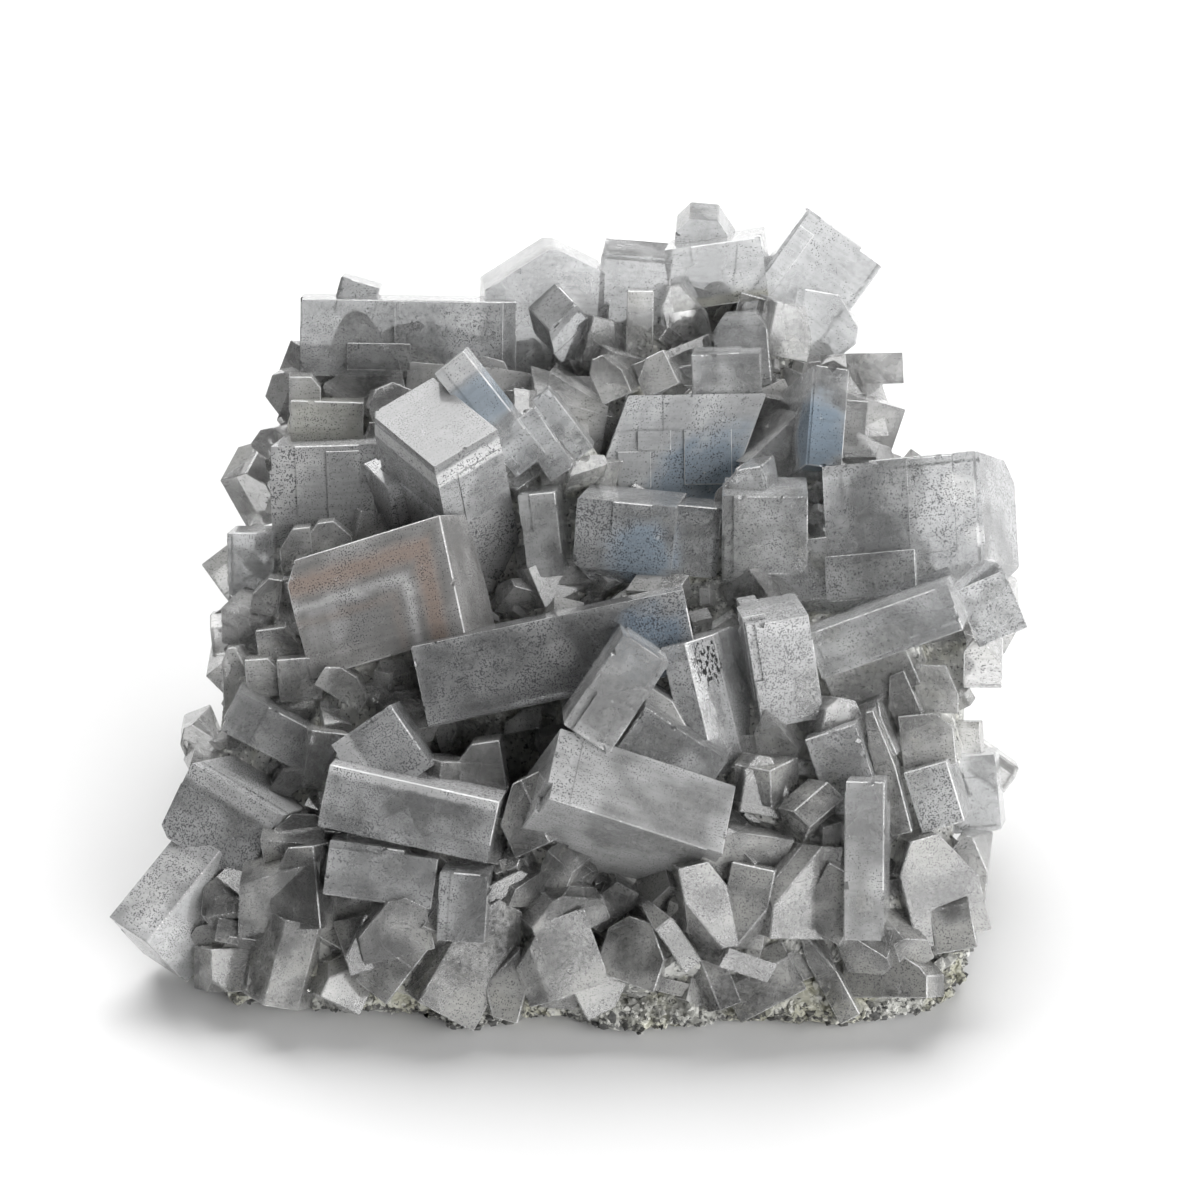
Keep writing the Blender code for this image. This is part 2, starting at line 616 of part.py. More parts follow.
def rock():
    """The rock wedge: rough upper surface, rough walls, and a flat middle underneath."""
    points = ground_points()
    bm = bmesh.new()
    top = grid(bm, lambda u, v: rock_top(u, v, points))
    floor = grid(bm, rock_floor)
    for i in range(ACROSS):
        for j in range(DEEP):
            bm.faces.new((top[i, j], top[i + 1, j], top[i + 1, j + 1], top[i, j + 1]))
            bm.faces.new((floor[i, j], floor[i, j + 1], floor[i + 1, j + 1], floor[i + 1, j]))
    loop = rim_loop()
    above = [top[key] for key in loop]
    lowest = [floor[key] for key in loop]
    for step in range(1, WALL_STEPS + 1):
        share = step / WALL_STEPS
        if step == WALL_STEPS:
            below = lowest
        else:
            below = []
            for key, high, low in zip(loop, [top[k] for k in loop], lowest):
                place = high.co.lerp(low.co, share)
                tall = high.co.z - low.co.z
                below.append(bm.verts.new(rough(place, min(0.6, max(tall - 3, 0) / 30))))
        for k in range(len(loop)):
            n = (k + 1) % len(loop)
            bm.faces.new((above[n], above[k], below[k], below[n]))
        above = below
    bmesh.ops.recalc_face_normals(bm, faces=bm.faces)
    return to_object("matrix", bm)


# ---------------------------------------------------------------- assembly

def finish(obj, items=None):
    """Name, material, real scale, and the object's own place and turn."""
    name = obj.name
    if items:
        home = Matrix.Translation(items[0]["at"])
        home = home @ Euler([math.radians(t) for t in items[0]["turn"]]).to_matrix().to_4x4()
        obj.data.materials.append(material(name, crystal_colour(name), 0.22, 0.6))
    else:
        home = Matrix.Identity(4)
        obj.data.materials.append(material(name, (0.3, 0.29, 0.27), 0.85))
    obj.data.transform(home.inverted())
    obj.data.transform(Matrix.Scale(MM, 4))
    home.translation = home.translation * MM
    obj.matrix_world = home


def centre_on_origin(objects):
    """Stand the specimen on z = 0 with its overall box centred on the origin."""
    bpy.context.view_layer.update()
    corners = [obj.matrix_world @ v.co for obj in objects for v in obj.data.vertices]
    shift = Vector((-(min(c.x for c in corners) + max(c.x for c in corners)) / 2,
                    -(min(c.y for c in corners) + max(c.y for c in corners)) / 2,
                    -min(c.z for c in corners)))
    for obj in objects:
        obj.location = obj.location + shift
    return shift


def build():
    for old in list(bpy.data.objects):
        bpy.data.objects.remove(old)
    names = list(LARGE)
    boxes = {name: extent(LARGE[name], GAP) for name in names}
    made = []
    for index, name in enumerate(names):
        obj = large_crystal(name, LARGE[name])
        for other in names[index + 1:]:
            if not apart(boxes[name], boxes[other]):
                trim(obj, LARGE[other])
        tidy(obj)
        made.append(obj)
    body = rock()
    for index, (at, size, turn) in enumerate(SMALL):
        cuts = HABITS[index % len(HABITS)]
        combine(body, to_object("small", block_mesh(size, turn, at, 0.0, cuts)), "UNION")
    for name in names:
        trim(body, LARGE[name])
    tidy(body)
    for obj in made:
        finish(obj, LARGE[obj.name])
    finish(body)
    shift = centre_on_origin(made + [body])
    print("shift mm", [round(s * 1000, 2) for s in shift])
    total = 0
    for obj in made + [body]:
        total += len(obj.data.polygons)
    print("triangles", total, "matrix", len(body.data.polygons))


build()
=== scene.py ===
"""The dressed barite specimen: clear and cloudy crystals with growth steps on a gritty rock."""

import json
import math
import random
from collections import defaultdict

import bmesh
import bpy
import numpy as np
from mathutils import Euler, Matrix, Vector, noise


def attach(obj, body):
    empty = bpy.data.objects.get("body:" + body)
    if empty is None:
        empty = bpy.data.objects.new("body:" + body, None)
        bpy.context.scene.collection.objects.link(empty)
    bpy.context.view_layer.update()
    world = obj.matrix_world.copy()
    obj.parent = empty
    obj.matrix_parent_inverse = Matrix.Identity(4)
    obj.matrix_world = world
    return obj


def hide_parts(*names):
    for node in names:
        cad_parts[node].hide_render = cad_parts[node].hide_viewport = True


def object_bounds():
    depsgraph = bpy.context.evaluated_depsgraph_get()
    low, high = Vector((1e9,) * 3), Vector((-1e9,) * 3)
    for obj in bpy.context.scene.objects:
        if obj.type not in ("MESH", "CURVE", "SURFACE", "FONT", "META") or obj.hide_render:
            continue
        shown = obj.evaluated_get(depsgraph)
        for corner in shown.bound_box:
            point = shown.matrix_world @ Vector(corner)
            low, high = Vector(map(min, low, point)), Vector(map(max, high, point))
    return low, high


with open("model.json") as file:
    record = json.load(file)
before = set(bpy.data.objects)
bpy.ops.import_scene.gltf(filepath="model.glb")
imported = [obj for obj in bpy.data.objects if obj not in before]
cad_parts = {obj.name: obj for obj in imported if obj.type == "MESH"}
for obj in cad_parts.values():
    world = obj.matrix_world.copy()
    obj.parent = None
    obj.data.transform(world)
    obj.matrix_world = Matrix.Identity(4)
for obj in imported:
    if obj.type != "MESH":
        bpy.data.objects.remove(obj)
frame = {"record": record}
cad_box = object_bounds()

MM = 0.001
CENTRE = Vector((0.69, 0.35, 0.0))  # where the tables' origin lies in the frame, mm
ROOT_POWER = 3.0  # how closely the rock follows the nearest root
REST_SHARE = 0.62  # share of the underside that is flat
RIM_RISE = 1.4  # how far its rim is lifted, mm
EDGE = 0.13  # width of the worn edges, painted pale both as wear and as a painted highlight, mm


def spin_of(turn):
    return Euler([math.radians(t) for t in turn]).to_matrix()


def crystal(at, size, turn, skew=0.0, cuts=(), ledges=(), root=None, reach=0.0):
    """One crystal, in millimetres and degrees, as the solids have it."""
    at = tuple(Vector(at) + spin_of(turn) @ Vector((0.0, reach / 2, 0.0)))
    size = (size[0], size[1] + reach, size[2])
    return {"at": at, "size": size, "turn": turn, "skew": skew, "cuts": cuts,
            "ledges": ledges, "root": root}


UPRIGHT = (0.0, 0.1, -0.42)  # a crystal that stands on its end
LYING = (0.0, 0.2, -0.1)  # a crystal that leans back on the rock

# The large crystals, from the back to the front. Crystals that overlap are written under one
# name and joined. The node of each is its name here with "crystal_" before it.
LARGE = {
    "back_centre": [
        crystal((-4.5, 33, 39.3), (14, 10, 22), (-18, 3, 4), root=(0, 0.2, -0.3),
            cuts=((-0.42, 0, 1, 1.0), (0.3, 0, 1, 1.05))),
        crystal((-0.6, 28.6, 41.2), (5.5, 5, 14), (10, -36, 24), cuts=((-1, 0, 1, 1.5),)),
    ],
    "back_leaning": [
        crystal((24.5, 36, 43), (10.5, 10, 18), (-28, 32, -16),
            ledges=(((-4.2, -4.4, -1), (2.2, 2.2, 16)),)),
        crystal((27.5, 32.5, 41), (7.5, 10, 8.5), (-25, 7, -8),
            cuts=((1, 0, 1, 1.25), (1, 0, -1, 1.2))),
    ],
    "back_top": [
        crystal((15.5, 37, 46.3), (11, 10.5, 7), (-20, -10, -2)),
        crystal((14.2, 40.5, 47), (7.5, 6, 9), (-6, 4, -3),
            cuts=((1, 0, 0.9, 1.15), (-1, 0, 1, 1.6))),
    ],
    "mid_top": [crystal((6, 36.2, 43.2), (8, 10.5, 11), (-14, 3, -4))],
    "back_left": [
        crystal((-19.5, 28, 42.5), (24, 11, 8.5), (-24, 2, 2),
            ledges=(((-3.2, -5.2, -2), (7, 1.6, 3)), ((4.5, -5.3, 0.4), (12, 1.2, 7.6)))),
        crystal((-25.5, 32.5, 44.5), (4.5, 7, 5), (-24, 15, -6)),
    ],
    "olive_block": [crystal((-28, 16, 38.5), (8, 10, 4.5), (-25, 3, 2))],
    "banded": [
        crystal((16, 17.5, 43.5), (7.5, 9, 5), (-23, -4, -2)),
        crystal((18, 25, 42.5), (6, 7, 8), (-22, -7, -3), cuts=((1, 0, 1, 1.6), (-1, 0, 1, 1.6))),
    ],
    "right_upright": [crystal((25, 11, 40), (4, 13, 11), (-41, 12, 6), root=(0, 0.2, -0.3))],
    "rhombic": [
        crystal((10.2, 10.9, 37.2), (15, 5.5, 12.5), (-28, 0, 2), skew=21,
            root=(0, 0.1, -0.5), reach=2,
            ledges=(((-2.4, -3.6, 2.6), (3.6, 1.1, 4.6)), ((-4.6, -3.6, -1.8), (3.6, 0.9, 4)),
                    ((3.4, -3.6, 0.8), (5.2, 1.0, 8.6)))),
    ],
    "tall_post": [
        crystal((-14, 1.5, 35.5), (8.5, 12, 25), (6, -13, 36), root=UPRIGHT,
            cuts=((-1, 0.9, 0.6, 2.3),)),
        crystal((-19.5, 3, 34), (4, 6, 12), (2, -9, 30), root=UPRIGHT),
    ],
    "left_cube": [crystal((-27.5, 9, 33.5), (11.5, 11, 11), (-23, -3, -2), root=(0, 0.3, -0.3),
        ledges=(((3, -5.4, 0), (5, 1, 9.8)),))],
    "left_outer": [crystal((-35.5, 2.6, 28), (5, 9.5, 7.5), (-26, 0, 0))],
    "blue_tip": [
        crystal((-9.5, 4, 46), (4, 5, 14), (-28, -36, 14)),
        crystal((-2, 8, 42.5), (2.5, 6, 8), (-30, -34, 16)),
        crystal((-4, 4.5, 42), (3, 6, 7.5), (-29, -31, 14)),
    ],
    "blue_block": [
        crystal((5, -3.5, 34.8), (10.5, 8, 9), (-21, 1, -9), reach=2,
            cuts=((0, -1, -1, 1.6), (-1, -0.4, -1, 1.9))),
        crystal((11.5, -3, 34.6), (6.5, 6, 7.5), (-24, 3, -5), reach=3),
    ],
    "slim": [crystal((-4, -3, 35.3), (4, 5, 9), (-22, -8, -3), root=UPRIGHT, reach=3)],
    "right_stepped": [
        crystal((36, -5, 36.5), (17, 13, 14.5), (-34, -16, -18), root=(0, 0.3, -0.2),
            cuts=((1, 0, -1, 1.55), (1, 0.6, 1, 2.3)),
            ledges=(((-3.5, -6.3, -4.8), (10, 1.6, 4.6)), ((4.2, -6.2, 2), (6.5, 1.1, 10)))),
        crystal((19.5, -3, 35.5), (9, 10, 9.5), (-18, -1, -2), cuts=((0, -1, -1, 1.75),)),
        crystal((31, -6.6, 32.4), (19, 10, 8), (-33, -14, -12), cuts=((0, -1, -1, 1.6),)),
        crystal((18, 0, 40), (4.5, 6, 3.5), (-18, -16, -11), cuts=((-1, 0, 1, 1.2),)),
        crystal((43, -10.4, 30.8), (5.5, 9, 6.5), (-28, -22, 8)),
    ],
    "right_bar": [crystal((32, -15.8, 32), (15.5, 11.5, 5), (-23, -23, 0))],
    "brown_plate": [
        crystal((-20.5, -11.3, 32.3), (18, 8, 12.5), (-31, -22, -5), skew=4,
            root=(0, 0.3, -0.25), reach=3, cuts=((-1, 0, 0.4, 1.25),)),
    ],
    "long_prism": [
        crystal((-2.5, -19, 30), (28.5, 9, 8.5), (-28, -11, 5), root=(0.42, 0.4, 0), reach=1.5,
            cuts=((0, -1, -1, 1.88),)),
    ],
    "spotted_post": [crystal((13.2, -24.5, 27.5), (4.5, 7, 14), (-21, -23, -18), reach=3,
        cuts=((1, -1, 0, 1.3),))],
    "bright_post": [crystal((20.5, -22, 31), (6.5, 8, 11), (-18, -7, 8), reach=2,
        ledges=(((-2.2, 0.6, 1.6), (2.4, 8, 9)),))],
    "striated": [crystal((3.5, -27.7, 31.7), (5.5, 10, 11), (-29, 31, -14), reach=3)],
    "mid_slab": [crystal((9.2, -30.5, 25.5), (10, 4.5, 6), (-25, 30, -16), reach=4)],
    "hollow_plate": [crystal((-20, -30, 25), (7.5, 5, 7.5), (-36, -31, 16), reach=3)],
    "left_bar": [crystal((-31.5, -20.5, 21.5), (11.5, 8, 4.5), (-30, 26, -11))],
    "left_plate": [crystal((-35, -26, 14.5), (11.5, 13, 8.5), (-28, 15, -30),
        cuts=((-1, 0, -1, 1.75), (-1, 0, 0.7, 1.6)))],
    "corner_blade": [crystal((-41, -33, 8.2), (6, 12, 9.5), (31, 1, -44), root=(0, 0.4, 0.1))],
    "front_bar": [crystal((-17, -34.5, 21.5), (17.5, 7, 6.5), (-25, 9, -9), reach=4)],
    "front_block": [
        crystal((-20, -37.2, 15.8), (11, 9, 5.5), (-29, 7, -4)),
        crystal((-11.5, -39.7, 13.8), (5, 9, 7), (-26, 2, -5)),
        crystal((-15.5, -38.2, 13.2), (5, 7, 4.5), (-30, 4, -4)),
    ],
    "front_chisel": [crystal((3.5, -32.5, 18), (19, 8, 17.5), (29, 21, -1), root=(0, 0.4, -0.2),
        cuts=((1, -0.4, -0.9, 1.7), (-1, 0, -1.1, 1.75)))],
    "right_block": [crystal((27, -30, 23.5), (5.5, 6, 8.5), (-26, -21, 0), reach=3)],
    "thin_bar": [crystal((29, -38, 18), (4, 8, 16), (-28, -4, -8))],
    "right_small": [crystal((36.5, -29, 19.5), (4.8, 6, 6.5), (-28, -20, -1), reach=3)],
    "right_pale": [crystal((42, -17.5, 12), (5, 7, 8), (-27, -10, -6))],
    "rear_block": [crystal((-14, 40, 31), (11, 7, 8), (24, 12, -10), root=(0, -0.3, 0))],
    "rear_slab": [crystal((8, 40.5, 28), (13, 6, 9), (30, -20, 8), root=(0, -0.3, 0))],
    "rear_post": [crystal((23, 39.5, 24), (6, 8, 12), (28, 24, 20), root=(0, -0.3, 0))],
}

# The small crystals that are grown into the rock: centre, size, turn.
SMALL = [(row[:3], row[3:6], row[6:]) for row in (
    # skyline and back slope
    (-30.5, 18.5, 40.5, 3.5, 7, 4, -23, 2, 3), (30, 16.5, 38, 3, 8, 5, -25, 2, -7),
    (8.5, 17.5, 43.2, 4, 10, 4, -32, -25, 7), (3.5, 17, 43.2, 3.5, 10, 5, -30, -24, 5),
    (6.5, 27.5, 44, 3, 6, 8, -22, 0, -2), (-2.5, 6, 39, 4, 7, 4.5, -24, -7, 2),
    (22.5, 27, 44, 5, 7, 6, -20, 16, 8), (-11, 24, 39, 6, 7, 5, -30, -20, 12),
    (4, 24, 40, 6, 7, 5, -14, 24, 20), (-14, 13, 38.5, 7, 7, 6, -24, 14, -8),
    (-21, 19, 38.5, 6, 7, 5, -30, -16, 20), (-6, 17, 37, 5, 7, 7, -20, 34, 6),
    (11, 33, 42.5, 5, 8, 8, -20, -8, 14), (20, 31, 42, 6, 8, 7, -24, 12, -10),
    (1, 28, 41.5, 5, 8, 6, -22, 24, 18), (-23, 3, 31, 5, 6, 6, -22, 20, 14),
    # left side
    (-30.5, -0.5, 32, 3.5, 6, 4.5, -25, -4, 4), (-26.8, 0.2, 32.8, 4.5, 6, 4, -24, -6, 5),
    (-38, -6, 24.5, 3, 7, 4.5, -28, -3, 5), (-36.5, -11, 22.5, 3, 7, 6.5, -26, -1, 4),
    (-32, -10, 26, 4.5, 6, 3.5, -26, -5, 6), (-33.5, -13.5, 24, 3.5, 6, 4, -27, -2, 4),
    (-29.5, -14.5, 24.5, 4.5, 6, 4.5, -26, -3, 4), (-33.5, -4.5, 28.5, 3, 6, 4, -26, 9, -2),
    (-24.5, -17.5, 25.5, 5.5, 5, 3, -30, 27, -16), (-30.5, -14.5, 20.5, 9.5, 7, 3.5, -21, 1, 0),
    (-40, -16, 17, 4, 6, 6, -20, -18, 12), (-37.5, 10, 22, 6, 6, 5, 10, -30, 24),
    (-36, 20, 28, 5, 7, 7, 4, -24, -14), (-37.5, 4, 14, 5, 8, 6, -8, -40, 6),
    # dark hollow and the crystals around it
    (-10.5, -27.5, 21.8, 5.5, 7, 5.5, -28, -8, 3), (8, -25.5, 28, 7, 5, 3, -29, 28, -19),
    (-8, -12, 24, 5, 5, 6, -10, 24, 30), (1.5, -12.5, 27, 4, 6, 5, -30, -12, -20),
    (-15, -12, 22, 4, 5, 6, 12, -20, 40), (-26, -24, 20.5, 6, 6, 6, -26, 14, 10),
    (-14, -29, 21, 5, 6, 5, -20, 20, 30), (-5, -33, 20, 6, 6, 7, -32, -24, 8),
    (26, -25.5, 26, 5, 6, 5, -30, 20, 12), (30, -24, 24, 5, 6, 6, -22, -30, -8),
    # right side
    (42.5, -12.5, 25, 4, 8, 5, -29, -3, -6), (37, -18, 25.5, 4.5, 9, 5, -29, -1, -3),
    (36, -23, 22.5, 5.5, 9, 5.5, -29, -8, -2), (30.5, -18.5, 27, 9, 8, 4.5, -29, -24, 5),
    (33.5, -21.5, 26, 3, 6, 6, -32, -25, 4), (31.5, -29, 22.5, 2.2, 6, 13, -28, -17, -1),
    (44.3, -10.5, 10.6, 5, 6, 3, -29, 31, -18), (44, 0, 24, 6, 6, 7, -6, 28, 12),
    (37, 14, 30, 6, 7, 6, -10, 34, -10), (34.5, 24, 24, 6, 8, 7, 8, 30, 16),
    # front right
    (19, -31.5, 23, 4.5, 5, 4, -11, -12, -36), (23, -34.5, 21.5, 4.5, 5, 5.5, 19, 26, -40),
    (36, -33.5, 11.5, 8, 9, 11, -28, -8, 16), (37, -35.5, 8.5, 6.5, 9, 6.5, -32, -12, 1),
    (40.5, -28.5, 10, 4, 9, 7, -30, 2, -9), (26, -39, 13.5, 5, 6, 7, -26, 22, -20),
    (12.5, -40.5, 14, 4.5, 6, 9, -28, -7, 12), (17, -40.5, 13.8, 4.5, 5, 8.5, -29, 5, -14),
    (21.2, -38.5, 14.5, 7.5, 7, 9.5, -24, 17, 22), (18, -31, 22, 5, 6, 6, -30, 18, 10),
    (8.5, -40.5, 10.5, 2.2, 6, 8, -28, -24, 30), (-2, -39.5, 12.5, 8, 5, 4.5, -18, -12, 26),
    # front rim
    (-29.6, -40.5, 6.8, 6.5, 6, 9, -20, 26, 22), (-22, -41, 9.6, 4.8, 5, 5.5, -32, -10, 16),
    (-11.3, -41.2, 8, 7, 5, 13, -25, 38, 8), (-2.6, -41.5, 8.4, 8.5, 6, 8, -27, -15, 14),
    (6, -41.2, 8.6, 6.5, 6, 6.5, -34, 9, -20), (18.3, -41.6, 5.4, 7.5, 5, 5.5, -28, -24, 14),
    (25.2, -41.6, 6.2, 2.3, 5, 10, -28, -28, 8), (32, -40.3, 5.4, 9, 6, 5.5, -34, -13, -18),
    (13.4, -42, 6, 3.6, 5, 6.5, -30, -18, 12), (-36, -38.8, 4.6, 6, 5, 4.5, -28, 13, 24),
    (-28, -37, 13.6, 5.5, 6, 8.5, -28, -15, -16), (-24.5, -41.6, 5, 5, 5, 5, -34, 38, 10),
    (-18.6, -41.8, 8, 4, 6, 7, -22, 30, -24), (-7, -42, 5.4, 4, 5, 7.5, -31, 10, -14),
    (2, -41.8, 4.7, 6, 5, 4.5, -30, -18, 22),
)]

# The corner cuts that the small crystals have, taken in turn down the list.
HABITS = (
    ((1, 0, 1, 1.4),), (), ((-1, 0, 1, 1.05),), ((1, 0, 0.8, 1.05), (-1, 0, 0.9, 1.4)),
    ((0, -1, 1, 1.4),), ((1, -0.6, 1, 1.6), (-1, 0, 1, 1.5)), ((1, 0, 0.5, 0.9),),
)

# Places on the rock's upper surface away from any crystal: the floor and back of the dark hollow,
# the front rim, and the slopes at the sides and the back.
GROUND = (
    (-15, -24, 9), (-9, -26, 9), (-3, -25, 9), (-12, -19, 10), (-5, -19, 10), (2, -20, 13),
    (-8, -10, 27), (-2, -11, 29), (5, -11, 30), (11, -14, 29), (5, -26, 25), (10, -25, 25),
    (-8, -3, 26), (-3, -7, 28), (-9, 5, 30), (2, 14, 33), (8, 15, 33), (20, 12, 33),
    (-2, 20, 35), (12, 22, 36), (4, 32, 38), (18, 33, 38), (-22, -9, 28),
    (-15, -9, 27), (32, -13, 30), (25, -13, 30), (39, -9, 27),
    (-40, -36, 5), (-30, -42, 4), (-18, -43, 4), (-6, -44, 5), (6, -43, 5), (18, -43, 5),
    (30, -42, 5), (38, -37, 6), (43, -25, 12), (-42, -28, 9), (-41, -14, 14),
    (-38, 0, 20), (-36, 14, 26), (-34, 28, 30), (-26, 38, 32), (-8, 40, 34), (8, 41, 36),
    (24, 41, 33), (33, 30, 32), (36, 16, 30), (43, 4, 26),
)

# Left and right edge of the rock at a distance from the front: (y, left, right).
OUTLINE = (
    (-43.5, -38, 34), (-37, -42, 38), (-30, -42, 38.5), (-20, -39.5, 40), (-10, -37.5, 41),
    (0, -35.5, 40), (10, -34, 35), (20, -33, 32), (30, -31, 31), (36, -29, 29.5), (39, -27, 28),
)
CORNER = 6.0  # how far the front and back edges curve in at their corners, mm


# ---- mesh helpers

def turned(item, offset):
    return Vector(item["at"]) + spin_of(item["turn"]) @ Vector(offset)


def clip(bm, normal, point):
    everything = bm.verts[:] + bm.edges[:] + bm.faces[:]
    cut = bmesh.ops.bisect_plane(bm, geom=everything, plane_co=point, plane_no=normal,
                                 clear_outer=True)
    rim = [e for e in cut["geom_cut"] if isinstance(e, bmesh.types.BMEdge)]
    if rim:
        bmesh.ops.contextual_create(bm, geom=rim)


def block(size, spin, at, skew=0.0, cuts=(), bevel=0.0):
    """A closed block with cut corners, whose narrow worn edges take the second material, which is
    later painted pale as wear and as a painted highlight.
    """
    bm = bmesh.new()
    bmesh.ops.create_cube(bm, size=2.0)
    for a, b, c, d in cuts:
        normal = Vector((a, b, c))
        clip(bm, normal, normal * (d / normal.length_squared))
    half = [s / 2 for s in size]
    lean = math.tan(math.radians(skew))
    for vert in bm.verts:
        x, y, z = vert.co
        vert.co = (x * half[0] + z * half[2] * lean, y * half[1], z * half[2])
    if bevel:
        bmesh.ops.recalc_face_normals(bm, faces=bm.faces)
        made = bmesh.ops.bevel(bm, geom=bm.edges[:], offset=bevel, segments=1,
                               affect="EDGES", profile=0.5)
        for face in made["faces"]:
            face.material_index = 1
    bmesh.ops.transform(bm, matrix=Matrix.Translation(at) @ spin.to_4x4(), verts=bm.verts)
    bmesh.ops.recalc_face_normals(bm, faces=bm.faces)
    return bm


def shown(name, data):
    obj = bpy.data.objects.new(name, data)
    bpy.context.scene.collection.objects.link(obj)
    return obj


def to_object(name, bm, slots=0):
    mesh = bpy.data.meshes.new(name)
    bm.to_mesh(mesh)
    bm.free()
    for _ in range(slots):
        mesh.materials.append(None)
    return shown(name, mesh)


def face_values(mesh, name, values):
    layer = mesh.attributes.new(name, "FLOAT", "FACE")
    layer.data.foreach_set("value", values)


def finish_faces(mesh, look):
    """Keep the worn edges, which carry a painted highlight as well as wear, as a face value, and
    give every face the one material.
    """
    edge_wear_and_highlight = [float(face.material_index) for face in mesh.polygons]
    face_values(mesh, "edge_wear_and_highlight", edge_wear_and_highlight)
    mesh.polygons.foreach_set("material_index", [0] * len(edge_wear_and_highlight))
    mesh.materials.clear()
    mesh.materials.append(look)


def keep_axes(mesh, item):
    """Give each point its place in the crystal's own axes, unskewed and in metres."""
    home = Matrix.Translation(item["at"]) @ spin_of(item["turn"]).to_4x4()
    to_own = home.inverted()
    lean = math.tan(math.radians(item["skew"]))
    places = []
    for vert in mesh.vertices:
        x, y, z = to_own @ vert.co
        places += [(x - z * lean) * MM, y * MM, z * MM]
    mesh.attributes.new("own", "FLOAT_VECTOR", "POINT").data.foreach_set("vector", places)


def volume(mesh):
    bm = bmesh.new()
    bm.from_mesh(mesh)
    closed = len(bm.faces) > 3 and all(edge.is_manifold for edge in bm.edges)
    found = bm.calc_volume() if closed else 0.0
    bm.free()
    return found


def combine(target, tool, operation, loss=0.3):
    """Apply one Boolean, and keep the old mesh where the result isn't a sound solid."""
    step = target.modifiers.new("step", "BOOLEAN")
    step.operation = operation
    step.solver = "MANIFOLD"
    step.object = tool
    graph = bpy.context.evaluated_depsgraph_get()
    result = bpy.data.meshes.new_from_object(target.evaluated_get(graph))
    target.modifiers.remove(step)
    before = volume(target.data)
    after = volume(result)
    keep = after > before * (1 - loss) if operation == "DIFFERENCE" else after > before * 0.99
    if keep:
        target.data, result = result, target.data
    bpy.data.meshes.remove(result)
    bpy.data.meshes.remove(tool.data)


# ---- large crystals

def face_steps(item, rng, count):
    """Thin boxes that carve growth steps into the faces of a crystal: (offset, size)."""
    sizes = item["size"]
    for _ in range(count):
        axis, side = rng.choice(((1, -1), (1, -1), (2, 1), (0, -1), (0, 1)))
        depth = rng.uniform(0.06, 0.3) if rng.random() < 0.8 else rng.uniform(0.3, 0.6)
        others = [k for k in range(3) if k != axis]
        rng.shuffle(others)
        offset = [0.0, 0.0, 0.0]
        size = [0.0, 0.0, 0.0]
        offset[axis] = side * (sizes[axis] / 2 - depth + 2.0)
        size[axis] = 4.0
        first, second = others
        share = rng.uniform(0.05, 0.35)
        end = rng.choice((-1, 1))
        offset[first] = end * sizes[first] * (0.5 - share / 2 + 0.25)
        size[first] = sizes[first] * (share + 0.5)
        if rng.random() < 0.5:
            size[second] = sizes[second] * 1.3
        else:
            share = rng.uniform(0.2, 0.7)
            offset[second] = rng.choice((-1, 1)) * sizes[second] * (0.5 - share / 2 + 0.25)
            size[second] = sizes[second] * (share + 0.5)
        yield offset, size


def edge_chips(item, rng, count):
    """Small slanted blocks that nick the edges: (offset, size, extra turn)."""
    half = [s / 2 for s in item["size"]]
    for _ in range(count):
        axis = rng.randrange(3)
        offset = [half[k] * rng.choice((-1, 1)) for k in range(3)]
        offset[axis] = half[axis] * rng.uniform(-0.95, 0.95)
        size = [rng.uniform(0.35, 0.95) for _ in range(3)]
        yield offset, size, [rng.uniform(0, 90) for _ in range(3)]


def dressed_crystal(name, items, look):
    """The crystal with fine edges, growth steps and nicks."""
    rng = random.Random(name)
    obj = None
    for item in items:
        spin = spin_of(item["turn"])
        body = to_object(name, block(item["size"], spin, item["at"], item["skew"],
                                     item["cuts"], EDGE), 2)
        big = max(item["size"])
        for offset, size in item["ledges"]:
            tool = block(size, spin, turned(item, offset), bevel=0.08)
            combine(body, to_object("ledge", tool, 2), "UNION")
        for offset, size in face_steps(item, rng, 2 if big < 8 else 4):
            tool = block(size, spin, turned(item, offset))
            combine(body, to_object("step", tool, 2), "DIFFERENCE", 0.12)
        for offset, size, turn in edge_chips(item, rng, 4 if big < 8 else 7):
            tool = block(size, spin @ spin_of(turn), turned(item, offset))
            combine(body, to_object("chip", tool, 2), "DIFFERENCE", 0.1)
        if obj is None:
            obj = body
            obj.name = name + "_clear"
        else:
            combine(obj, body, "UNION")
    keep_axes(obj.data, items[0])
    place = Vector(items[0]["at"])
    obj.data.transform(Matrix.Scale(MM, 4) @ Matrix.Translation(-place))
    finish_faces(obj.data, look)
    obj.location = (place + CENTRE) * MM
    return obj


# ---- rock

def root_of(item):
    share = item["root"] or LYING
    return turned(item, [s * r for s, r in zip(item["size"], share)])


# The places that the rock's upper surface passes through.
ROOTS = [Vector(p) for p in GROUND] + [root_of(i) for items in LARGE.values() for i in items]
ROOTS += [root_of({"at": at, "turn": turn, "size": size, "root": (0, 0.12, 0)})
          for at, size, turn in SMALL]
POINTS = np.array([tuple(p) for p in ROOTS])


def ground_height(x, y):
    near = ((x - POINTS[:, 0]) ** 2 + (y - POINTS[:, 1]) ** 2 + 2.0) ** (-ROOT_POWER / 2)
    return float((near * POINTS[:, 2]).sum() / near.sum())


def edge_at(y, column):
    for (y0, *a), (y1, *b) in zip(OUTLINE, OUTLINE[1:]):
        if y <= y1:
            t = (y - y0) / (y1 - y0)
            return a[column] + (b[column] - a[column]) * t
    return OUTLINE[-1][column + 1]


def footprint(u, v):
    front = OUTLINE[0][0]
    back = OUTLINE[-1][0]
    y = front + (back - front) * v
    left = edge_at(y, 0)
    right = edge_at(y, 1)
    curve = CORNER * abs(2 * u - 1) ** 4 * (1 - 2 * v) ** 3
    return left + (right - left) * u, y + curve


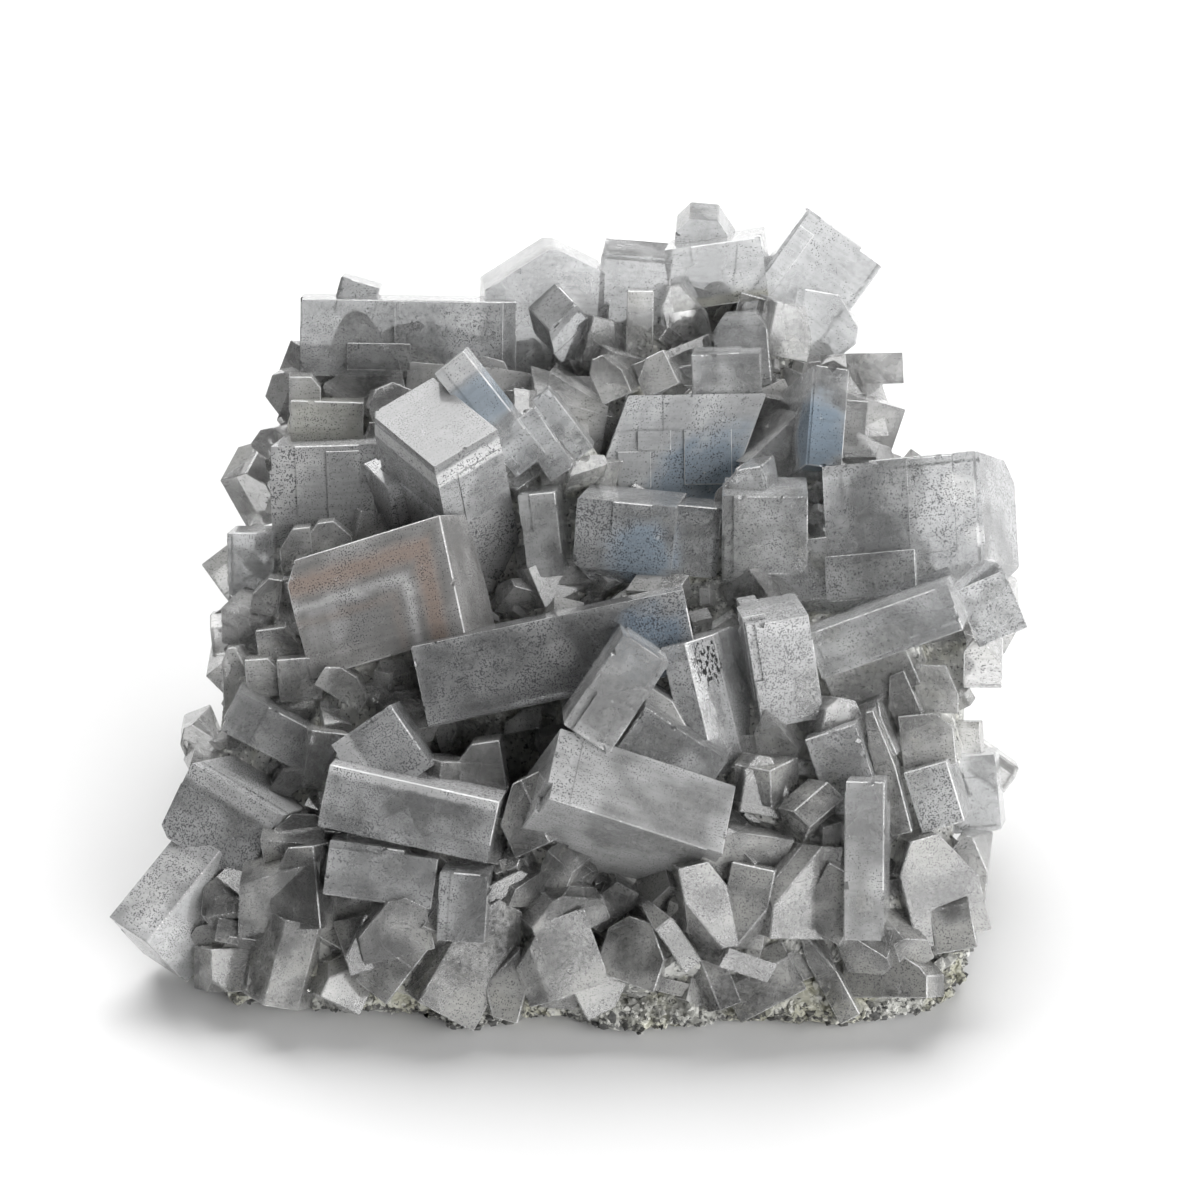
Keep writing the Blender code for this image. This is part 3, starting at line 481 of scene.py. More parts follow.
def grit(place):
    """Broken rock: ledges, lumps and grains, as one height in millimetres."""
    big = noise.noise(place * 0.16)
    mid = noise.noise(place * 0.5 + Vector((3, 9, 1)))
    small = noise.noise(place * 1.4 + Vector((8, 2, 6)))
    cell = noise.cell(place * 0.9)
    return 0.5 * round(big * 6) / 2.5 + 0.45 * (mid * 1.2 + small * 0.7) + 0.2 * cell


def rough(place, amount):
    shift = [grit(place + Vector(step)) for step in ((0, 0, 0), (31, 0, 0), (0, 57, 0))]
    return place + Vector(shift) * amount


ACROSS = 110  # faces across the rock, from front to back, and down its walls
DEEP = 104
WALLS = 20


def rock_top(u, v):
    x, y = footprint(u, v)
    inner = min(1.0, 10 * min(u, 1 - u, v, 1 - v))
    z = ground_height(x, y) + inner * grit(Vector((x, y, 90)))
    return Vector((x, y, z))


def rock_floor(u, v):
    x, y = footprint(u, v)
    inward = Vector((x * 0.9, (y + 2) * 0.93 - 2, 0.0))
    share = max(abs(u - 0.5), abs(v - 0.5)) * 2
    if share < REST_SHARE:
        return inward
    rise = (share - REST_SHARE) / (1 - REST_SHARE)
    inward.z = max(0.1, RIM_RISE * rise ** 1.3 + 1.3 * rise * grit(inward))
    return inward


def rock_side(high, low, share):
    """A place on the rough side, between the upper surface and the floor."""
    hump = math.sin(share * math.pi) ** 0.5
    return rough(high.lerp(low, share), min(0.9, max(high.z - low.z - 2, 0) / 18) * hump)


def rock():
    bm = bmesh.new()
    top = {}
    floor = {}
    for i in range(ACROSS + 1):
        for j in range(DEEP + 1):
            top[i, j] = bm.verts.new(rock_top(i / ACROSS, j / DEEP))
            floor[i, j] = bm.verts.new(rock_floor(i / ACROSS, j / DEEP))
    for i in range(ACROSS):
        for j in range(DEEP):
            bm.faces.new((top[i, j], top[i + 1, j], top[i + 1, j + 1], top[i, j + 1]))
            bm.faces.new((floor[i, j], floor[i, j + 1], floor[i + 1, j + 1], floor[i + 1, j]))
    loop = [(i, 0) for i in range(ACROSS)] + [(ACROSS, j) for j in range(DEEP)]
    loop += [(i, DEEP) for i in range(ACROSS, 0, -1)] + [(0, j) for j in range(DEEP, 0, -1)]
    rings = [[top[key] for key in loop]]
    for step in range(1, WALLS):
        rings.append([bm.verts.new(rock_side(top[key].co, floor[key].co, step / WALLS))
                      for key in loop])
    rings.append([floor[key] for key in loop])
    for above, below in zip(rings, rings[1:]):
        for k in range(len(loop)):
            n = (k + 1) % len(loop)
            bm.faces.new((above[n], above[k], below[k], below[n]))
    bmesh.ops.recalc_face_normals(bm, faces=bm.faces)
    return bm


# ---- druse of small crystals

SIGHT = np.array((0.0, 0.848, -0.53))  # away from the viewer
LIMIT = [[c / MM for c in corner] for corner in cad_box]
PROUD = 2.3  # a face has to be this far above the rock to show, mm
# Every listed crystal as a plain box.
BOXES = [(i["at"], i["size"], i["turn"]) for items in LARGE.values() for i in items] + SMALL
TURNS = np.array([np.array(spin_of(turn).transposed()) for _, _, turn in BOXES])
CENTRES = np.array([at for at, _, _ in BOXES])
HALVES = np.array([size for _, size, _ in BOXES]) / 2
AHEAD = TURNS @ SIGHT


def inside_large(place, grow):
    local = np.einsum("nij,nj->ni", TURNS, np.array(place) - CENTRES)
    return bool((np.abs(local) < HALVES + grow).all(axis=1).any())


def covers_large(point):
    """Whether the face of a listed crystal shows right behind this point."""
    local = np.einsum("nij,nj->ni", TURNS, np.array(point) - CENTRES)
    first = (-HALVES - local) / AHEAD
    second = (HALVES - local) / AHEAD
    enter = np.minimum(first, second).max(axis=1)
    leave = np.maximum(first, second).min(axis=1)
    ahead = (leave > enter) & (leave > 0)
    for distance in enter[ahead]:
        x, y, z = np.array(point) + SIGHT * max(distance, 0.0)
        if z > ground_height(x, y) + PROUD:
            return True
    return False


def corners(at, size, spin):
    return [at + spin @ Vector((a * size[0], b * size[1], c * size[2])) * 0.5
            for a in (-1, 1) for b in (-1, 1) for c in (-1, 1)]


def outside(points):
    """Whether a small crystal or grain would leave the solids' box, or touch the ground."""
    (x0, y0, _), (x1, y1, z1) = LIMIT
    return any(not (x0 < x < x1 and y0 < y < y1 and 0.3 < z < z1)
               for x, y, z in (point + CENTRE for point in points))


def in_hollow(place):
    return -19 < place.x < -1 and -27 < place.y < -17 and place.z < 27


def small_cuts(rng):
    """A few planes that turn a block into a wedge, a chisel or a tip."""
    kind = rng.random()
    if kind < 0.2:
        return []
    if kind < 0.45:
        side = rng.choice((-1, 1))
        return [(side, 0, 1, rng.uniform(0.9, 1.6)), (-side, 0, 1, rng.uniform(1.1, 1.8))]
    cuts = []
    for _ in range(rng.choice((1, 1, 2, 3))):
        pick = [rng.choice((-1, 1)), rng.choice((-1, -1, 0, 1)), rng.choice((-1, 0, 1))]
        reach = abs(pick[0]) + abs(pick[1]) + abs(pick[2])
        cuts.append((*pick, reach * rng.uniform(0.5, 0.85)))
    return cuts


def add_to(store, bm, tone):
    """Gather a crystal into a joined mesh, keeping one tone for each crystal."""
    base = len(store["verts"])
    bm.verts.ensure_lookup_table()
    store["verts"] += [tuple(v.co * MM) for v in bm.verts]
    for face in bm.faces:
        store["faces"].append([base + v.index for v in face.verts])
        store["tones"].append(tone)
        store["edge_wear_and_highlight"].append(float(face.material_index))
    bm.free()


def region(place):
    if place.y < -28:
        return "front"
    if place.y > 10:
        return "back"
    return "left" if place.x < -2 else "right"


def scatter(rng, stores, faces, count, low, high, wild):
    """Grow block-like crystals of a range of sizes on some of the rock's faces."""
    weights = [f.calc_area() for f in faces]
    for face in rng.choices(faces, weights=weights, k=count):
        place = face.calc_center_median()
        if in_hollow(place):
            continue
        long = rng.uniform(low, high)
        size = (long, long * rng.uniform(0.7, 1.7), long * rng.uniform(0.35, 1.0))
        turn = (rng.gauss(-26, wild), rng.gauss(0, wild * 1.3), rng.gauss(0, wild * 1.3))
        at = place + face.normal * long * rng.uniform(-0.05, 0.2)
        spin = spin_of(turn)
        points = corners(at, size, spin)
        if inside_large(at, 0.3) or outside(points):
            continue
        if sum(covers_large(point) for point in points) > (2 if long > 2 else 4):
            continue
        skew = rng.choice((0, 0, 12, -12, 22, -22))
        shape = block(size, spin, at, skew, small_cuts(rng), 0.07)
        add_to(stores[region(at)], shape, rng.random())


def joined(name, store, look):
    mesh = bpy.data.meshes.new(name)
    mesh.from_pydata(store["verts"], [], store["faces"])
    face_values(mesh, "tone", store["tones"])
    face_values(mesh, "edge_wear_and_highlight", store["edge_wear_and_highlight"])
    mesh.materials.append(look)
    obj = shown(name, mesh)
    obj.location = CENTRE * MM
    return obj


# Tone and specks of the small crystals in each region.
DRUSE_TONES = {"front": (0.54, 0.5), "left": (0.95, 0.35), "right": (1.0, 0.3),
               "back": (0.9, 0.05)}


def druse(rock_bm):
    """All the small crystals, gathered by region."""
    rng = random.Random(41)
    stores = defaultdict(lambda: defaultdict(list))
    for index, (at, size, turn) in enumerate(SMALL):
        cuts = list(HABITS[index % len(HABITS)])
        if at[1] < -30:
            cuts += small_cuts(rng)[:2]
        shape = block(size, spin_of(turn), at, 0.0, cuts, 0.12)
        add_to(stores[region(Vector(at))], shape, rng.random())
    middle = {f: f.calc_center_median() for f in rock_bm.faces}
    faces = [f for f in rock_bm.faces if middle[f].z > 0.8]
    upper = [f for f in faces if f.normal.z > 0.5]
    sides = [f for f in faces if -0.3 < f.normal.z < 0.5]
    back = [f for f in upper if middle[f].y > 12]
    low = [f for f in faces if middle[f].y < -30 and f.normal.z > -0.3]
    front = [f for f in low if middle[f].z > 5] + [f for f in low if middle[f].x < -8]
    for some, count, short, long, wild in (
            (back, 160, 6.0, 10.0, 14), (front, 130, 5.5, 9.0, 22), (upper, 500, 3.0, 6.0, 24),
            (front, 300, 2.5, 6.0, 32), (sides, 500, 1.5, 4.0, 34), (upper, 700, 1.0, 2.6, 36),
            (front, 450, 0.8, 2.6, 40)):
        scatter(rng, stores, some, count, short, long, wild)
    made = []
    for key, store in stores.items():
        tone, specks = DRUSE_TONES[key]
        look = crystal_material("barite_druse_" + key, None, tone, specks, 0.85, (1, 1, 0.985))
        made.append(joined("druse_" + key, store, look))
    return made


# The foot of the crust, from the left corner round the front to the right side.
FOOT = ((-38, -24), (-42, -34.5), (-36, -40), (-28.6, -41.2), (-18.4, -41.8), (-11, -44.6),
        (-5.6, -43), (4, -44.2), (12, -44.4), (17, -42.8), (27.5, -43.8), (36, -41.2),
        (41, -34), (41.5, -22), (40, -8))


def foot_at(share):
    """A place on the foot line, and the level direction that leads away from the rock."""
    lengths = [math.dist(a, b) for a, b in zip(FOOT, FOOT[1:])]
    left = share * sum(lengths)
    for a, b, length in zip(FOOT, FOOT[1:], lengths):
        if left <= length:
            break
        left -= length
    t = min(1.0, left / length)
    place = Vector((a[0] + (b[0] - a[0]) * t, a[1] + (b[1] - a[1]) * t, 0.0))
    away = (place - Vector((0.0, -16.0, 0.0))).normalized()
    return place, away


def crag(place):
    """Broken, crystalline relief, in millimetres."""
    near, far = noise.voronoi(place * 0.42)[0][:2]
    fine = noise.voronoi(place * 1.1)[0]
    return (1.5 * (far - near) + 0.55 * (fine[1] - fine[0]) + 1.0 * noise.noise(place * 0.3)
            + 0.3 * noise.noise(place * 2.3))


# The crust's section from top to bottom: how far in from the foot line, and how high, in mm.
SECTION = ((6.5, 8.6), (3.4, 7.2), (1.4, 5.4), (0.3, 3.4), (0.1, 1.8), (0.9, 0.6), (3.0, 0.45),
           (6.5, 0.4))
CRUST_LONG = 440
CRUST_ROUND = 64


def crust_point(i, j):
    """A point of the rough crust, i along the foot line and j down its section."""
    place, away = foot_at(i / CRUST_LONG)
    swell = 0.75 + 0.45 * noise.noise(Vector((i * 0.045, 5, 2)))
    ends = min(1.0, 14 * min(i, CRUST_LONG - i) / CRUST_LONG)
    at = j / CRUST_ROUND * (len(SECTION) - 1)
    k = min(int(at), len(SECTION) - 2)
    depth, rise = [a + (b - a) * (at - k) for a, b in zip(SECTION[k], SECTION[k + 1])]
    point = place - away * depth + Vector((0, 0, rise * swell * (0.4 + 0.6 * ends)))
    push = (crag(point) - 1.0) * (0.35 + 0.65 * ends)
    lift = 0.5 * noise.noise(point * 0.8 + Vector((9, 9, 9)))
    point += away * push + Vector((0, 0, lift + 0.3 * push))
    point.z = max(point.z, 0.3)
    return point


def crust(look):
    """The rough crust of intergrown grains round the foot of the front."""
    bm = bmesh.new()
    grid = [[bm.verts.new(crust_point(i, j)) for j in range(CRUST_ROUND + 1)]
            for i in range(CRUST_LONG + 1)]
    for first, second in zip(grid, grid[1:]):
        for j in range(CRUST_ROUND):
            bm.faces.new((first[j], second[j], second[j + 1], first[j + 1]))
    bmesh.ops.recalc_face_normals(bm, faces=bm.faces)
    spots = [vert.co.copy() for row in grid for vert in row[4:52]]
    bmesh.ops.transform(bm, matrix=Matrix.Scale(MM, 4), verts=bm.verts)
    obj = to_object("crust_foot", bm)
    face_values(obj.data, "tone", [0.7] * len(obj.data.polygons))
    obj.data.materials.append(look)
    obj.location = CENTRE * MM
    return obj, spots


def lump(rng, size):
    """A broken grain with flat sides."""
    bm = bmesh.new()
    bmesh.ops.create_icosphere(bm, subdivisions=1, radius=0.5)
    squash = [rng.uniform(0.6, 1.3) for _ in range(3)]
    for vert in bm.verts:
        far = rng.uniform(0.6, 1.25) * size
        vert.co = Vector([c * s * far for c, s in zip(vert.co, squash)])
    return bm


def crumbs(spots, look):
    """Loose and half buried grains on the crust."""
    rng = random.Random(77)
    store = defaultdict(list)
    for at in rng.choices(spots, k=2600):
        size = rng.uniform(0.35, 0.8) if rng.random() < 0.85 else rng.uniform(0.8, 1.6)
        bm = lump(rng, size)
        bmesh.ops.translate(bm, vec=at, verts=bm.verts)
        if outside([vert.co for vert in bm.verts]):
            bm.free()
            continue
        dark = rng.random() < (0.45 if at.z < 1.4 else 0.08)
        add_to(store, bm, rng.uniform(0.0, 0.25) if dark else rng.uniform(0.35, 1.0))
    return joined("crust_grains", store, look)


# ---- materials

class Graph:
    """Short names for the nodes of a shader or of the world."""

    def __init__(self, tree):
        self.tree = tree

    def feed(self, socket, item):
        """Link another node to a socket, or give it a colour or a number."""
        if isinstance(item, bpy.types.NodeSocket):
            self.tree.links.new(item, socket)
        else:
            socket.default_value = (*item, 1.0) if socket.type == "RGBA" else item

    def new(self, kind, **values):
        """A node, with its settings and what goes into it."""
        node = self.tree.nodes.new("ShaderNode" + kind)
        for key, value in values.items():
            if hasattr(node, key):
                setattr(node, key, value)
            else:
                self.feed(node.inputs[key], value)
        return node

    def split(self, vector):
        return self.new("SeparateXYZ", Vector=vector).outputs

    def span(self, value, low, high, to_low=0.0, to_high=1.0):
        """Run smoothly from one amount to another between two values."""
        return self.new("MapRange", interpolation_type="SMOOTHSTEP", Value=value, **{
            "From Min": low, "From Max": high, "To Min": to_low, "To Max": to_high}).outputs[0]

    def math(self, kind, a, b=0.0):
        node = self.new("Math", operation=kind)
        self.feed(node.inputs[0], a)
        self.feed(node.inputs[1], b)
        return node.outputs[0]

    def plus(self, a, b):
        return self.math("ADD", a, b)

    def times(self, a, b):
        return self.math("MULTIPLY", a, b)


class Nodes(Graph):
    """A material."""

    def __init__(self, name, own=False):
        self.own = own
        self.milk = None
        self.mat = bpy.data.materials.new(name)
        self.mat.use_nodes = True
        super().__init__(self.mat.node_tree)

    def set(self, name, item):
        self.feed(self.tree.nodes["Principled BSDF"].inputs[name], item)

    def stain(self, factor, body, colour):
        """Mix a mark into the colour, and remember how much it clouds the crystal."""
        self.milk = factor if self.milk is None else self.math("MAXIMUM", self.milk, factor)
        return self.mix(factor, body, colour)

    def value(self, name):
        """A value that the mesh keeps for each face."""
        return self.new("Attribute", attribute_name=name).outputs["Fac"]

    def coords(self):
        """Places in the crystal's own axes, or in the object's."""
        if self.own:
            return self.new("Attribute", attribute_name="own").outputs["Vector"]
        return self.new("TexCoord").outputs["Object"]

    def place(self, scale=(1, 1, 1), shift=(0, 0, 0)):
        return self.new("Mapping", Vector=self.coords(), Scale=scale,
                        Location=[s * MM for s in shift]).outputs[0]

    def away(self, point):
        """Distance in metres from a place given in millimetres."""
        node = self.new("VectorMath", operation="DISTANCE")
        self.feed(node.inputs[0], self.coords())
        self.feed(node.inputs[1], [p * MM for p in point])
        return node.outputs["Value"]

    def noise(self, vector, size_mm, detail=2.0, rough=0.5):
        return self.new("TexNoise", Vector=vector, Scale=1.0 / (size_mm * MM), Detail=detail,
                        Roughness=rough).outputs[0]

    def mix(self, factor, a, b):
        node = self.new("Mix", data_type="RGBA")
        for socket, item in (("Factor", factor), (6, a), (7, b)):
            self.feed(node.inputs[socket], item)
        return node.outputs[2]

    def bump(self, height, strength, distance_mm):
        self.set("Normal", self.new("Bump", Height=height, Strength=strength,
                                    Distance=distance_mm * MM).outputs[0])

    def soak(self, colour, density):
        """Absorption inside the crystal."""
        node = self.new("VolumeAbsorption", Density=density, Color=colour)
        self.feed(self.tree.nodes["Material Output"].inputs["Volume"], node.outputs[0])


def gray(level):
    return (level, level, level)


def tinted(level, tint):
    return tuple(max(0.05, min(1.0, level * t)) for t in tint)


WHITE = gray(0.9)
BLUE = (0.27, 0.335, 0.4)
BROWN = (0.32, 0.235, 0.19)
BARITE_IOR = 1.64
FROST = (0.06, 0.22)  # roughness of the smoothest and the most etched places
CLOUDED = 0.4  # share of the clearness that is left in the specks, veils and stains


def inset(n, size):
    """Distance in millimetres from a face point to the nearest edge of its face."""
    gaps = []
    for axis in range(3):
        away = n.times(n.math("ABSOLUTE", n.axes[axis]), 1.0 / MM)
        gaps.append(n.math("ABSOLUTE", n.math("SUBTRACT", size[axis] / 2, away)))
    low = n.math("MINIMUM", gaps[0], gaps[1])
    high = n.math("MAXIMUM", gaps[0], gaps[1])
    return n.math("MINIMUM", high, n.math("MAXIMUM", low, gaps[2]))


def rim_zoning_and_light(n, gap, fine):
    """Paler along the edges of each face: partly growth zoning, partly painted light standing for
    the pale surroundings seen by refraction; with one thin growth line further in.
    """
    gap = n.plus(gap, n.times(n.math("SUBTRACT", fine, 0.5), 0.8))
    rim = n.span(gap, 0.1, 0.9, 0.4, 0.0)
    line = n.math("COMPARE", gap, 1.9)
    line.node.inputs[2].default_value = 0.16
    return n.math("MAXIMUM", rim, n.times(line, 0.14))


def own_tones(n, cloud, body):
    """Each small crystal a little paler or darker than the next, with some olive."""
    tone = n.value("tone")
    body = n.mix(n.span(tone, 0.55, 1.0, 0.0, 0.2), body, (0.93, 0.93, 0.92))
    body = n.mix(n.span(tone, 0.0, 0.4, 0.35, 0.0), body, gray(0.4))
    return n.mix(n.span(cloud, 0.5, 0.7, 0.0, 0.22), body, (0.5, 0.49, 0.38))


def pepper(n, cloud, veil, specks, body):
    """Fine dark specks, thicker where the crystal is cloudy, and a few light ones."""
    grain = n.noise(n.place(shift=(3, 1, 4)), 0.15, 0.0)
    drift = n.plus(n.times(cloud, 0.5), n.times(veil, 0.5))
    level = n.plus(grain, n.span(drift, 0.36, 0.62, -0.08, 0.09))
    dark = n.span(level, 0.76 - 0.14 * specks, 0.8 - 0.14 * specks)
    light = n.span(grain, 0.35, 0.3)
    body = n.mix(n.times(dark, 0.85), body, (0.04, 0.04, 0.045))
    return n.mix(n.times(light, 0.1 * specks), body, WHITE), dark


def crystal_material(name, size, tone, specks, clear, tint, marks=()):
    """Clear to cloudy barite, with dark specks, paler worn edges that are partly a painted
    highlight, and face rims paled partly by painted light; no size for the druse.
    """
    n = Nodes(name, size is not None)
    rng = random.Random(name)
    n.vector = vector = n.place(shift=[rng.uniform(0, 90) for _ in range(3)])
    cloud = n.noise(vector, 6.0, 2.0, 0.5)
    veil = n.noise(vector, 1.4, 3.0, 0.65)
    fine = n.noise(vector, 0.5, 1.0, 0.7)
    swing = 0.07 if size else 0.2
    body = n.mix(n.span(cloud, 0.34, 0.66), tinted(tone - swing, tint),
                 tinted(tone + swing, tint))
    if size:
        n.axes = n.split(n.coords())
        # Face rims paler: growth zoning, and painted light from refraction.
        body = n.mix(rim_zoning_and_light(n, inset(n, size), fine), body, tinted(tone + 0.3, tint))
        for mark in marks:
            body = mark(n, body)
    else:
        body = own_tones(n, cloud, body)
    lines = n.noise(n.place((0.1, 1.0, 1.0), (2, 7, 5)), 0.4, 1.0)
    shade = n.plus(n.times(lines, 0.55), n.times(fine, 0.45))
    body = n.mix(n.span(shade, 0.36, 0.6, 0.18, 0.0), body, (0.16, 0.16, 0.165))
    white = n.span(veil, 0.64, 0.78, 0.0, 0.4)
    body = n.mix(white, body, gray(0.85))
    body, dark = pepper(n, cloud, veil, specks, body)
    # The worn edges are painted pale: partly real wear, partly a painted highlight along every
    # edge.
    edge = n.times(n.value("edge_wear_and_highlight"), n.span(veil, 0.35, 0.6, 0.35, 0.95))
    n.set("Base Color", n.mix(edge, body, WHITE))
    see = n.span(cloud, 0.38, 0.66, clear, clear * 0.75)
    see = n.times(see, n.span(n.plus(dark, white), 0.0, 1.0, 1.0, CLOUDED))
    if n.milk:
        see = n.times(see, n.span(n.milk, 0.0, 1.0, 1.0, CLOUDED))
    n.set("Transmission Weight", see)
    n.set("Roughness", n.span(fine, 0.3, 0.7, *FROST))
    n.set("IOR", BARITE_IOR)
    n.set("Specular IOR Level", 0.24 if size else 0.18)
    if size:
        n.soak(tuple(0.78 * t for t in tint), 50.0)
    return n.mat


def patch(point, radius, colour, share=0.8):
    """A soft stain round a place inside the crystal, in its own axes and millimetres."""
    def paint(n, body):
        wobble = n.times(n.noise(n.vector, 2.5, 3.0), radius * 0.8 * MM)
        far = n.plus(n.away(point), wobble)
        return n.stain(n.span(far, radius * 0.9 * MM, radius * 1.5 * MM, share, 0.0), body, colour)
    return paint


def stripe(n, value, wave, sway, low, high, soft):
    """One between two distances and nought beyond them, with edges that sway."""
    value = n.plus(value, n.times(wave, sway))
    low += sway / 2
    high += sway / 2
    rise = n.span(value, low - soft, low + soft)
    fall = n.span(value, high - soft, high + soft, 1.0, 0.0)
    return n.times(rise, fall)


def band(axis, low, high, colour, share=0.8, soft=0.4):
    """A band across the crystal, between two distances along one of its axes: a growth band, or on
    the tall post's top a painted shade.
    """
    def paint(n, body):
        along = n.times(n.axes[axis], 1 / MM)
        factor = stripe(n, along, n.noise(n.vector, 2.0, 3.0), 0.8, low, high, soft)
        return n.stain(n.times(factor, share), body, colour)
    return paint


def chevron(right, top, start, end, colour, share=0.8, soft=0.5):
    """A band that follows both the top and the right end of a plate, as its growth did."""
    def paint(n, body):
        gaps = [n.math("SUBTRACT", side, n.times(n.axes[axis], 1 / MM))
                for side, axis in ((right, 0), (top, 2))]
        depth = n.math("MINIMUM", *gaps)
        factor = stripe(n, depth, n.noise(n.vector, 2.5, 3.0), 0.9, start, end, soft)
        return n.stain(n.times(factor, share), body, colour)
    return paint


def black_spots(point, radius):
    """Black mineral grains gathered in one place."""
    def paint(n, body):
        near = n.span(n.away(point), radius * 0.5 * MM, radius * MM, 1.0, 0.0)
        grain = n.noise(n.place((1.0, 1.0, 0.6), (4, 2, 9)), 0.4, 3.0, 0.65)
        black = n.math("GREATER_THAN", n.plus(grain, n.times(near, 0.16)), 0.67)
        return n.mix(n.times(black, n.span(near, 0.0, 0.1)), body, gray(0.01))
    return paint


def rock_material():
    n = Nodes("rock_gritty")
    n.vector = vector = n.place()
    lump = n.noise(vector, 5.0, 4.0, 0.6)
    grain = n.noise(vector, 0.7, 3.0, 0.65)
    colour = n.mix(n.span(lump, 0.4, 0.62), (0.3, 0.3, 0.29), (0.55, 0.55, 0.53))
    colour = n.mix(n.span(grain, 0.5, 0.66), colour, (0.75, 0.75, 0.72))
    olive = n.noise(vector, 4.0, 2.0)
    colour = n.mix(n.span(olive, 0.55, 0.7, 0.0, 0.35), colour, (0.38, 0.37, 0.26))
    # Painted shade: a near-black patch on the rock in the deep hollow under the long prism.
    colour = patch((-10, -22, 15), 9, gray(0.07), 0.85)(n, colour)
    black = n.span(n.noise(vector, 0.5, 2.0, 0.8), 0.57, 0.63)
    n.set("Base Color", n.mix(n.times(black, 0.85), colour, gray(0.03)))
    n.set("Roughness", n.span(grain, 0.3, 0.7, 0.5, 0.9))
    n.bump(n.plus(grain, n.times(lump, 0.5)), 0.8, 0.3)
    return n.mat


def crust_material():
    """A crystalline crust: pale olive to white, with black grains low down."""
    n = Nodes("crust_grain")
    vector = n.place()
    tone = n.value("tone")
    lump = n.noise(vector, 3.5, 3.0, 0.6)
    grain = n.noise(vector, 0.5, 3.0, 0.7)
    colour = n.mix(n.span(lump, 0.38, 0.62), (0.28, 0.28, 0.26), (0.5, 0.5, 0.47))
    olive = n.noise(vector, 5.0, 2.0)
    colour = n.mix(n.span(olive, 0.45, 0.62, 0.0, 0.55), colour, (0.5, 0.49, 0.36))
    colour = n.mix(n.span(grain, 0.5, 0.7, 0.0, 0.5), colour, (0.72, 0.72, 0.69))
    split = n.split(vector)
    low = n.span(split[2], 0.8 * MM, 3.2 * MM, 0.14, 0.0)
    right = n.span(split[0], 30 * MM, 38 * MM, 0.0, 0.13)
    black = n.plus(n.noise(vector, 0.7, 2.0, 0.7), n.math("MAXIMUM", low, right))
    colour = n.mix(n.span(black, 0.6, 0.68, 0.0, 0.85), colour, gray(0.06))
    colour = n.mix(n.span(tone, 0.7, 1.0, 0.0, 0.45), colour, (0.78, 0.78, 0.75))
    n.set("Base Color", n.mix(n.span(tone, 0.2, 0.3, 0.9, 0.0), colour, gray(0.04)))
    n.set("Roughness", n.span(grain, 0.3, 0.7, 0.25, 0.7))
    n.bump(grain, 0.7, 0.25)
    return n.mat


# ---- pieces

TINT = {"crystal_gray": (0.985, 0.995, 1.0), "crystal_blue": (0.975, 0.99, 1.0),
        "crystal_brown": (1.0, 0.99, 0.975), "crystal_olive": (1.0, 1.0, 0.93),
        "crystal_pale": (0.995, 1.0, 1.0)}

